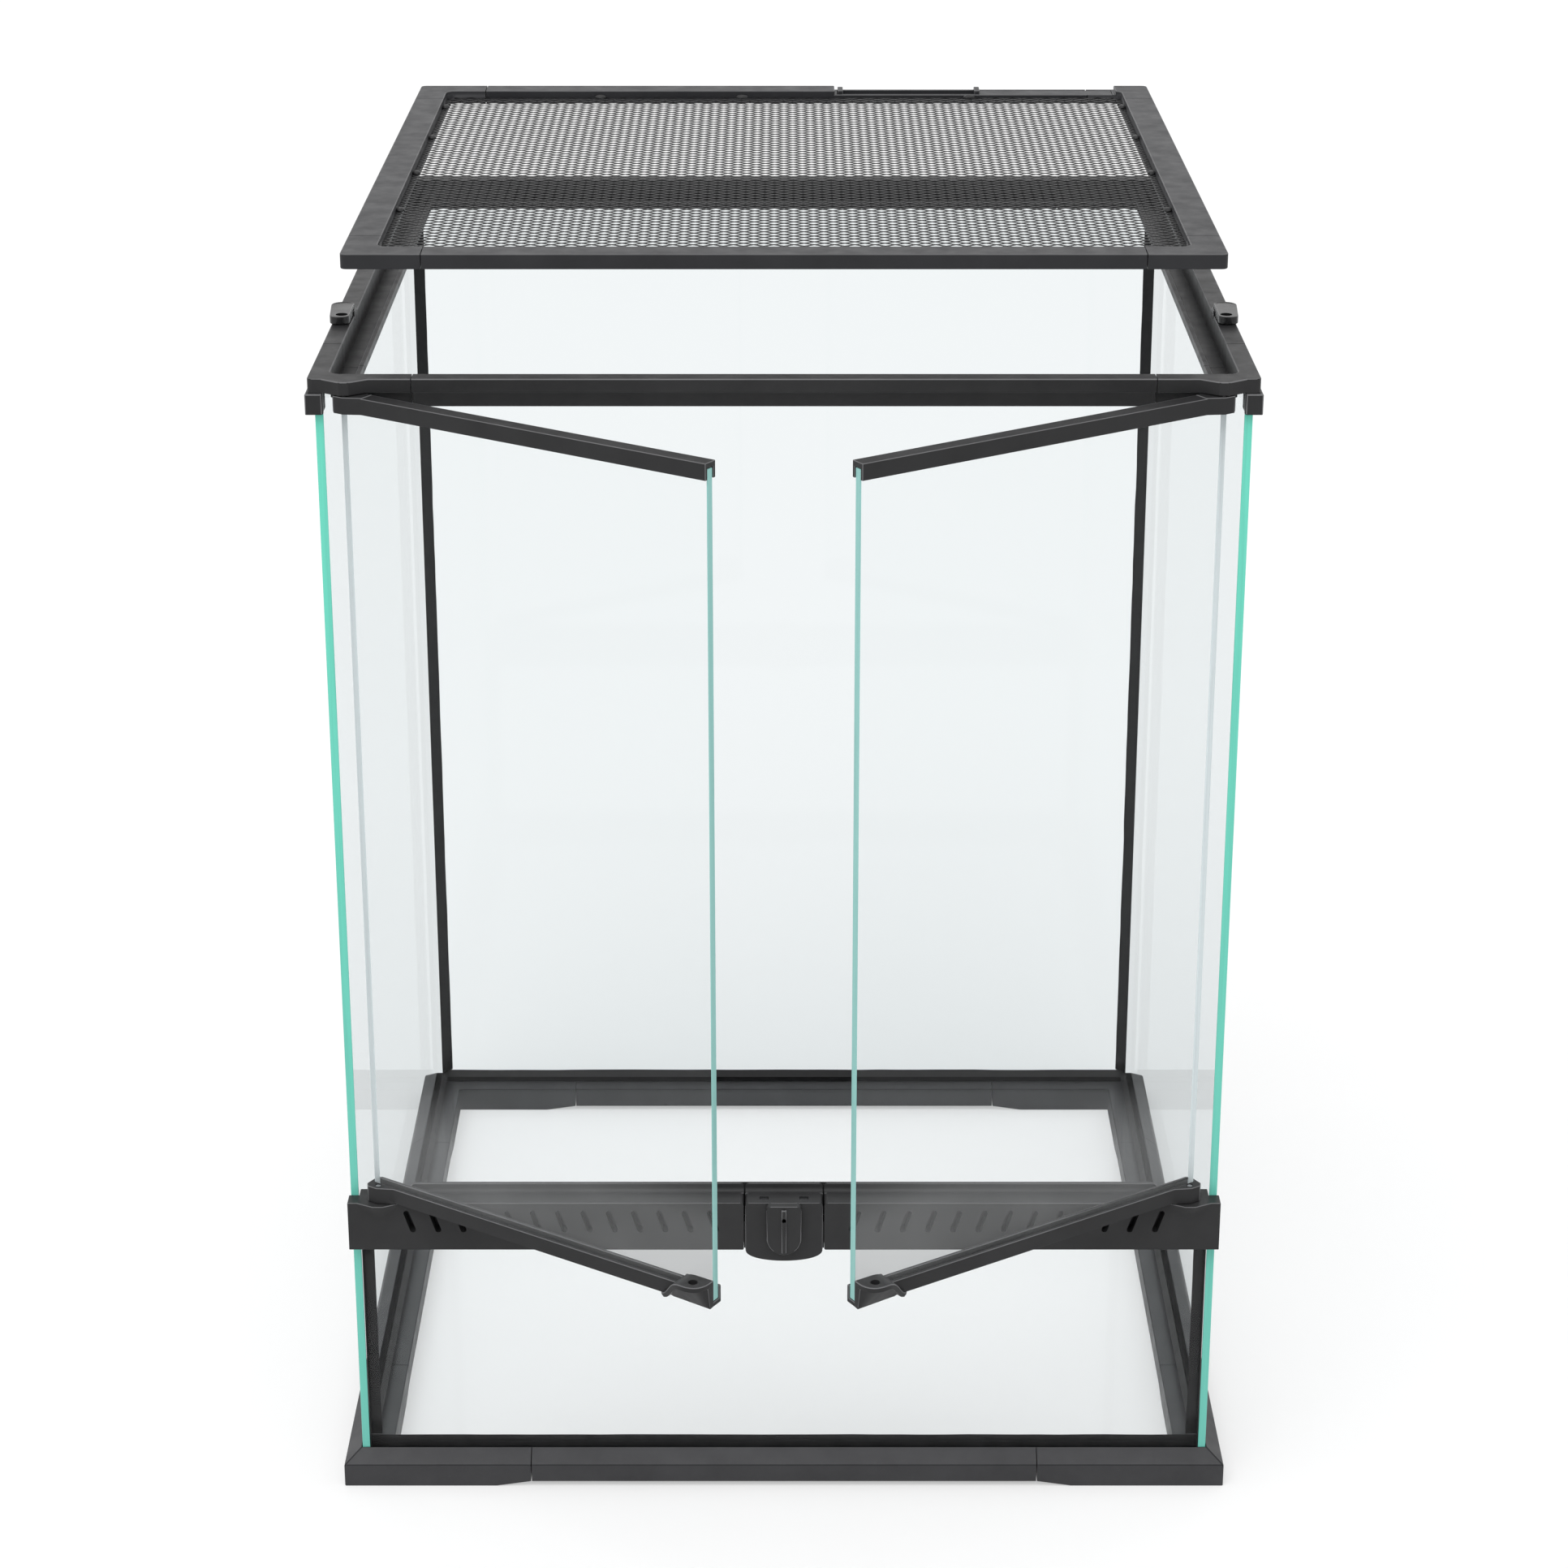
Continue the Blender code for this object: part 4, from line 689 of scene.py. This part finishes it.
def handle():
    """The finger pull, drawn along +X: a lip that sweeps up over the rail and round into a flat plate."""
    end = DOOR_LENGTH
    start = end - 0.020
    face = 0.0005
    rear = 0.0085
    top = DOOR_BOTTOM + 0.0145
    path = [  # back from the door's end, height, how far it stands out, thickness
        (-0.0282, 0.0018, 0.0026, 0.0022), (-0.0268, 0.0022, 0.0036, 0.0024), (-0.0252, 0.0031, 0.0045, 0.0026),
        (-0.0236, 0.0046, 0.0056, 0.0027), (-0.0218, 0.0067, 0.0068, 0.0027), (-0.0198, 0.0092, 0.0080, 0.0027),
        (-0.0178, 0.0115, 0.0091, 0.0027), (-0.0156, 0.0132, 0.0101, 0.0027), (-0.0132, 0.0142, 0.0108, 0.0027),
        (-0.0106, 0.0145, 0.0112, 0.0027), (-0.0080, 0.0145, 0.0112, 0.0027), (-0.0056, 0.0145, 0.0107, 0.0027),
        (-0.0036, 0.0145, 0.0097, 0.0027), (-0.0020, 0.0145, 0.0082, 0.0027), (-0.0009, 0.0145, 0.0062, 0.0027),
        (-0.0002, 0.0145, 0.0040, 0.0027), (0.0, 0.0145, 0.0016, 0.0027),
    ]
    sections = []
    for index, (x, z, out, thick) in enumerate(path):
        before = path[max(index - 1, 0)]
        after = path[min(index + 1, len(path) - 1)]
        along = Vector((after[0] - before[0], after[1] - before[1])).normalized()
        under = (x + along.y * thick, max(z - along.x * thick, 0.0001))
        inner = face - 0.0001 if end + under[0] < start else 0.0022
        sections.append([(end + x, inner, DOOR_BOTTOM + z), (end + x, face - out, DOOR_BOTTOM + z),
                         (end + under[0], face - out, DOOR_BOTTOM + under[1]),
                         (end + under[0], inner, DOOR_BOTTOM + under[1])])
    lip = swept(sections)
    rows = [[], []]
    for x, z, out, thick in path[4:]:
        share = (x + 0.0218) / 0.0218
        rows[0].append((end + x, face - out + 0.0006, DOOR_BOTTOM + z - 0.0012))
        rows[1].append((end - 0.0218 * (1 - share), face - 0.0005 - 0.0008 * share, DOOR_BOTTOM))
    back = 0.0022
    front = swept([[upper, lower, (lower[0], back, lower[2]), (upper[0], back, upper[2])]
                   for upper, lower in zip(*rows)])
    channel = box((start, face, DOOR_BOTTOM), (end, rear, DOOR_BOTTOM + 0.0095))
    slot = box((start - 0.004, back, DOOR_BOTTOM + 0.0027), (end + 0.001, 0.0068, top + FIT))
    beside = box((start - 0.01, face - 0.0001, DOOR_BOTTOM - 0.001), (start - FIT, rear, top + 0.001))
    pegs = box((start + 0.0054, 0.0015, DOOR_BOTTOM - FIT), (end - 0.0018, 0.0043, DOOR_BOTTOM + 0.0082))
    below = box((start - 0.014, face - 0.014, DOOR_BOTTOM - 0.005), (end + 0.001, rear + 0.001, DOOR_BOTTOM + 0.0002))
    hole = rod(0.0024, 0.009, Matrix.Translation((end - 0.0075, -0.0046, top)))
    whole = carved(channel, ("UNION", front), ("UNION", lip), ("DIFFERENCE", slot), ("DIFFERENCE", beside),
                   ("DIFFERENCE", pegs), ("DIFFERENCE", below), ("DIFFERENCE", hole))
    return soften(whole, 0.0004, 2, 33.0, lambda e: e.calc_length() > 0.0009)


def doors():
    for hand, side in ((LEFT, "left"), (RIGHT, "right")):
        for rail in ("top_rail", "bottom_rail"):
            softened(f"{side}_door_{rail}", "door_plastic", 0.0003, wanted=lambda e: e.calc_length() > 0.001)
        piece(f"{side}_door_handle_moulded", on_door(handle(), hand), f"{side}_door",
              "door_plastic", [f"{side}_door_handle"], smooth=32)


def lock():
    low = STRIP_LOW - 0.0065
    shoulder = STRIP_LOW + 0.0004
    front = STRIP_FRONT
    outline = [(HOUSING_HALF, SHELF), (-HOUSING_HALF, SHELF)]
    for step in range(33):
        angle = math.pi * step / 32
        rise = math.sin(angle) ** 0.8
        outline.append((-HOUSING_HALF * math.cos(angle), shoulder - (shoulder - low) * rise))
    shell = pulled(outline, lambda x, z: (x, front, z), (0, HOUSING_BACK - front, 0))
    top = pulled(strip_section(0.1573), lambda y, z: (-HOUSING_HALF, min(y, -0.2164), z), (2 * HOUSING_HALF, 0, 0))
    pocket = box((-0.0143, front + 0.0017, KNOB_Z - 0.0113), (0.0143, HOUSING_BACK + FIT, SHELF - 0.002))
    windows = []
    rounds = []
    fins = []
    for hand in (LEFT, RIGHT):
        near, far = sorted((hand * (HOUSING_HALF - 0.0006), hand * (SEAM - 0.0001)))
        fins.append(box((near, front + 0.0014, STRIP_LOW + 0.0004), (far, HOUSING_BACK, 0.156)))
        x = hand * PEG_X
        windows.append(box((x - PEG_WINDOW, HOUSING_BACK - 0.0027, SHELF - 0.003),
                           (x + PEG_WINDOW, HOUSING_BACK + FIT, SHELF + 0.001)))
        rounds += [corner(hand * HOUSING_HALF, SHELF, hand, 1, 0.0018, AHEAD, UPSTAND - 0.0001),
                   corner(hand * HOUSING_HALF, STRIP_TOP, hand, 1, 0.0018, UPSTAND, BEHIND)]
    stem = rod(0.0033, 0.006, Matrix.Translation((0, front, KNOB_Z)) @ LYING)
    shell = carved(shell, ("UNION", top), ("DIFFERENCE", pocket), ("DIFFERENCE", joined(*rounds)),
                   ("DIFFERENCE", stem))
    soften(shell, 0.0003, 2, 40.0, lambda e: e.calc_length() > 0.0006)
    shell = carved(shell, ("UNION", joined(*fins)), ("DIFFERENCE", joined(*windows)))
    piece("lock_housing_moulded", on_tank(shell), "tank", "lock_plastic", ["lock_housing"])

    knob_half = 0.0089
    shield = quarter(knob_half, 0.0135, 1, 1, 0.0022)
    shield += [(-x, z) for x, z in reversed(shield)]
    for step in range(1, 24):
        angle = math.pi * step / 24
        shield.append((-knob_half * math.cos(angle), -0.0047 - 0.0093 * math.sin(angle)))
    thick = 0.0048
    fore = front - FIT - thick
    knob = pulled(shield, lambda x, z: (x, fore, KNOB_Z + z), (0, thick, 0))
    ridge = box((-0.0013, fore - 0.0012, KNOB_Z - 0.0128), (0.0013, fore + 0.002, KNOB_Z + 0.0120))
    notch = rod(0.0011, 0.003, Matrix.Translation((0, fore - 0.001, KNOB_Z + 0.0063)) @ LYING, 20)
    knob = carved(knob, ("UNION", ridge), ("DIFFERENCE", notch))
    soften(knob, 0.0005, 3, 40.0, lambda e: e.calc_length() > 0.0009)
    piece("lock_knob_moulded", on_tank(knob), "turn_knob", "lock_plastic", ["lock_knob"])


def lid_screen():
    """Stretched metal: rows of small diamonds, each row half a diamond along from the last."""
    wide, high, strand, thick = 0.0097, 0.0061, 0.00047, 0.0003
    half = LID_HALF - LID_RIM - 0.0005
    bm = bmesh.new()
    cells = 2 * math.ceil(2 * LID_HALF / high)
    bmesh.ops.create_grid(bm, x_segments=cells, y_segments=cells, size=cells / math.sqrt(8))
    bmesh.ops.rotate(bm, cent=(0, 0, 0), matrix=Matrix.Rotation(math.pi / 4, 3, "Z"), verts=bm.verts)
    bmesh.ops.scale(bm, vec=(wide, high, 1), verts=bm.verts)
    far = [f for f in bm.faces if max(abs(c) for c in f.calc_center_median().xy) > half + wide / 2]
    bmesh.ops.delete(bm, geom=far, context="FACES")
    bmesh.ops.inset_individual(bm, faces=bm.faces, thickness=strand, use_even_offset=True)
    middles = [f for f in bm.faces if f.calc_area() > wide * high / 6.5]
    bmesh.ops.delete(bm, geom=middles, context="FACES")
    for normal, reach in (((1, 0, 0), half), ((-1, 0, 0), half), ((0, 1, 0), half), ((0, -1, 0), half),
                          ((1, 1, 0), half - 0.0025), ((1, -1, 0), half - 0.0025), ((-1, 1, 0), half - 0.0025),
                          ((-1, -1, 0), half - 0.0025)):
        geom = list(bm.verts) + list(bm.edges) + list(bm.faces)
        bmesh.ops.bisect_plane(bm, geom=geom, plane_co=Vector(normal) * reach, plane_no=normal, clear_outer=True)
    grown = bmesh.ops.extrude_face_region(bm, geom=list(bm.faces))
    moved = [v for v in grown["geom"] if isinstance(v, bmesh.types.BMVert)]
    bmesh.ops.translate(bm, vec=(0, 0, thick), verts=moved)
    bmesh.ops.recalc_face_normals(bm, faces=bm.faces)
    bmesh.ops.translate(bm, vec=(0, 0, NET_Z), verts=bm.verts)
    piece("lid_screen_net", on_tank(bm), "lid", "screen_metal", ["mesh_screen"], smooth=30,
          weighted=False)


def lid_stakes():
    """The melted plastic studs that hold the screen's border down."""
    edge = LID_HALF - LID_RIM - 0.0020
    spots = [(hand * edge, 0.193 - depth * 0.386) for hand in (LEFT, RIGHT) for depth in (0.08, 0.30, 0.535, 0.76)]
    spots += [(hand * edge, -0.188) for hand in (LEFT, RIGHT)]
    spots += [(x, edge) for x in (-0.105, -0.024, 0.106)]
    spots += [(x, -edge) for x in (-0.110, 0.0, 0.110)]
    noise.seed_set(1)
    studs = []
    for count, (x, y) in enumerate(spots):
        stud = bmesh.new()
        bmesh.ops.create_uvsphere(stud, u_segments=14, v_segments=8, radius=1)
        along = abs(y) > abs(x)
        bmesh.ops.scale(stud, vec=(0.0034 if along else 0.0022, 0.0022 if along else 0.0034, 0.0013), verts=stud.verts)
        for vert in stud.verts:
            vert.co += noise.noise_vector(vert.co * 900 + Vector((count, 0, 0))) * 0.0003
        bmesh.ops.translate(stud, vec=(x, y, NET_Z + 0.0007), verts=stud.verts)
        studs.append(stud)
    piece("lid_screen_studs", on_tank(joined(*studs)), "lid", "lock_plastic", weighted=False)


def gates():
    for side in ("left", "right"):
        softened(f"cable_gate_{side}", "lid_plastic", 0.0003)


def latches():
    """Rounded tabs with a rim round a sunk top, the pivot's head in a well near the front."""
    inner, outer, front, back = 0.0042, -0.0078, -0.0065, 0.0245
    for hand, side in ((LEFT, "left"), (RIGHT, "right")):
        node = f"lid_latch_{side}"
        outline = []
        for u, v, across, along, radius in ((inner, front, 1, -1, 0.0038), (inner, back, 1, 1, 0.0045),
                                            (outer, back, -1, 1, 0.0062), (outer, front, -1, -1, 0.0038)):
            arc = quarter(u, v, across, along, radius)
            outline += arc if across * along > 0 else arc[::-1]
        outline.reverse()
        taper = 0.0024 / (back - front)
        outline = [(u + (taper * (back - v) if u < 0 else 0), v) for u, v in outline]
        tab = pulled(outline, lambda u, v: (u, v, FIT), (0, 0, 0.0042))
        top = [f for f in tab.faces if f.normal.z > 0.9]
        bmesh.ops.inset_region(tab, faces=top, thickness=0.0011, depth=-0.0005, use_even_offset=True)
        foot = box((inner - 0.001, 0.0125, -0.0026), (inner + 0.0009, 0.0205, 0.0026))
        wells = [("DIFFERENCE", rod(radius, 0.008, Matrix.Translation((0, 0, base + 0.004))))
                 for radius, base in ((0.0020, -0.001), (0.0030, 0.0012))]
        tab = carved(tab, ("UNION", foot), *wells)
        soften(tab, 0.0005, 3, 33.0, lambda e: e.calc_length() > 0.0009)
        if hand == RIGHT:
            mirror(tab)
        bmesh.ops.translate(tab, vec=(hand * LATCH_X, LATCH_Y + TANK_Y, TOP_HEIGHT), verts=tab.verts)
        piece(f"{node}_moulded", tab, NODES[node]["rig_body"], "latch_plastic", [node])
        bolt = [rod(radius, high - low, Matrix.Translation((hand * LATCH_X, LATCH_Y + TANK_Y,
                                                            TOP_HEIGHT + (low + high) / 2)))
                for radius, low, high in ((0.0017, -0.0029, 0.0016), (0.0026, 0.0015, 0.0025))]
        pivot = f"latch_pivot_{side}"
        piece(f"{pivot}_bolt", joined(*bolt), NODES[pivot]["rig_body"], "latch_plastic", [pivot])


def carried_over():
    """CAD pieces whose shape is right keep it and take their finish here."""
    for name, node in NODES.items():
        if node.hide_render:
            continue
        look = "latch_plastic" if name.startswith("latch_") else "steel"
        node.data.materials.clear()
        node.data.materials.append(FINISHES[look])


# ---------------------------------------------------------------- studio


def in_sight(tree):
    """1 for a ray that the picture shows, straight, mirrored or through glass, and 0 for one that only lights."""
    path = tree.nodes.new("ShaderNodeLightPath")
    value = path.outputs["Is Camera Ray"]
    for kind in ("Is Glossy Ray", "Is Transmission Ray"):
        either = tree.nodes.new("ShaderNodeMath")
        either.operation = "MAXIMUM"
        tree.links.new(value, either.inputs[0])
        tree.links.new(path.outputs[kind], either.inputs[1])
        value = either.outputs[0]
    return value


def studio():
    scene = bpy.context.scene
    scene.view_settings.view_transform = "Standard"
    world = bpy.data.worlds.new("studio")
    scene.world = world
    world.use_nodes = True
    tree = world.node_tree
    level = tree.nodes.new("ShaderNodeMapRange")
    tree.links.new(in_sight(tree), level.inputs["Value"])
    level.inputs["To Min"].default_value = 0.85
    level.inputs["To Max"].default_value = 1.0
    sky = tree.nodes["Background"]
    sky.inputs["Color"].default_value = (1, 1, 1, 1)
    tree.links.new(level.outputs["Result"], sky.inputs["Strength"])

    ground = bmesh.new()
    bmesh.ops.create_grid(ground, x_segments=1, y_segments=1, size=12)
    mesh = bpy.data.meshes.new("studio_floor")
    ground.to_mesh(mesh)
    ground.free()
    floor = bpy.data.objects.new("studio_floor", mesh)
    scene.collection.objects.link(floor)
    made = Finish("studio floor")
    made.set(Base_Color=(0.51, 0.51, 0.51), Roughness=0.9, Specular_IOR_Level=0.0)
    glow = made.add("ShaderNodeEmission")
    made.link(made.spread(in_sight(made.tree), 0.0, 0.45), glow.inputs["Strength"])
    both = made.add("ShaderNodeAddShader")
    made.link(made.shader.outputs["BSDF"], both.inputs[0])
    made.link(glow.outputs["Emission"], both.inputs[1])
    made.link(both.outputs["Shader"], made.output.inputs["Surface"])
    mesh.materials.append(made.material)

    lamp = bpy.data.lights.new("overhead", "SUN")
    lamp.energy = 1.3
    lamp.angle = math.radians(50)
    stand = bpy.data.objects.new("overhead", lamp)
    stand.rotation_euler = (math.radians(24), math.radians(-12), 0)
    scene.collection.objects.link(stand)

    lens = bpy.data.cameras.new("camera")
    lens.lens = 83.85
    lens.sensor_width = 36
    lens.shift_y = -0.0518
    camera = bpy.data.objects.new("camera", lens)
    camera.location = (0, -1.831, 1.055)
    camera.rotation_euler = (math.radians(69.65), 0, 0)
    scene.collection.objects.link(camera)
    scene.camera = camera


frames()
panes()
silicone()
vent_strip()
doors()
lock()
lid_screen()
lid_stakes()
gates()
latches()
carried_over()
studio()
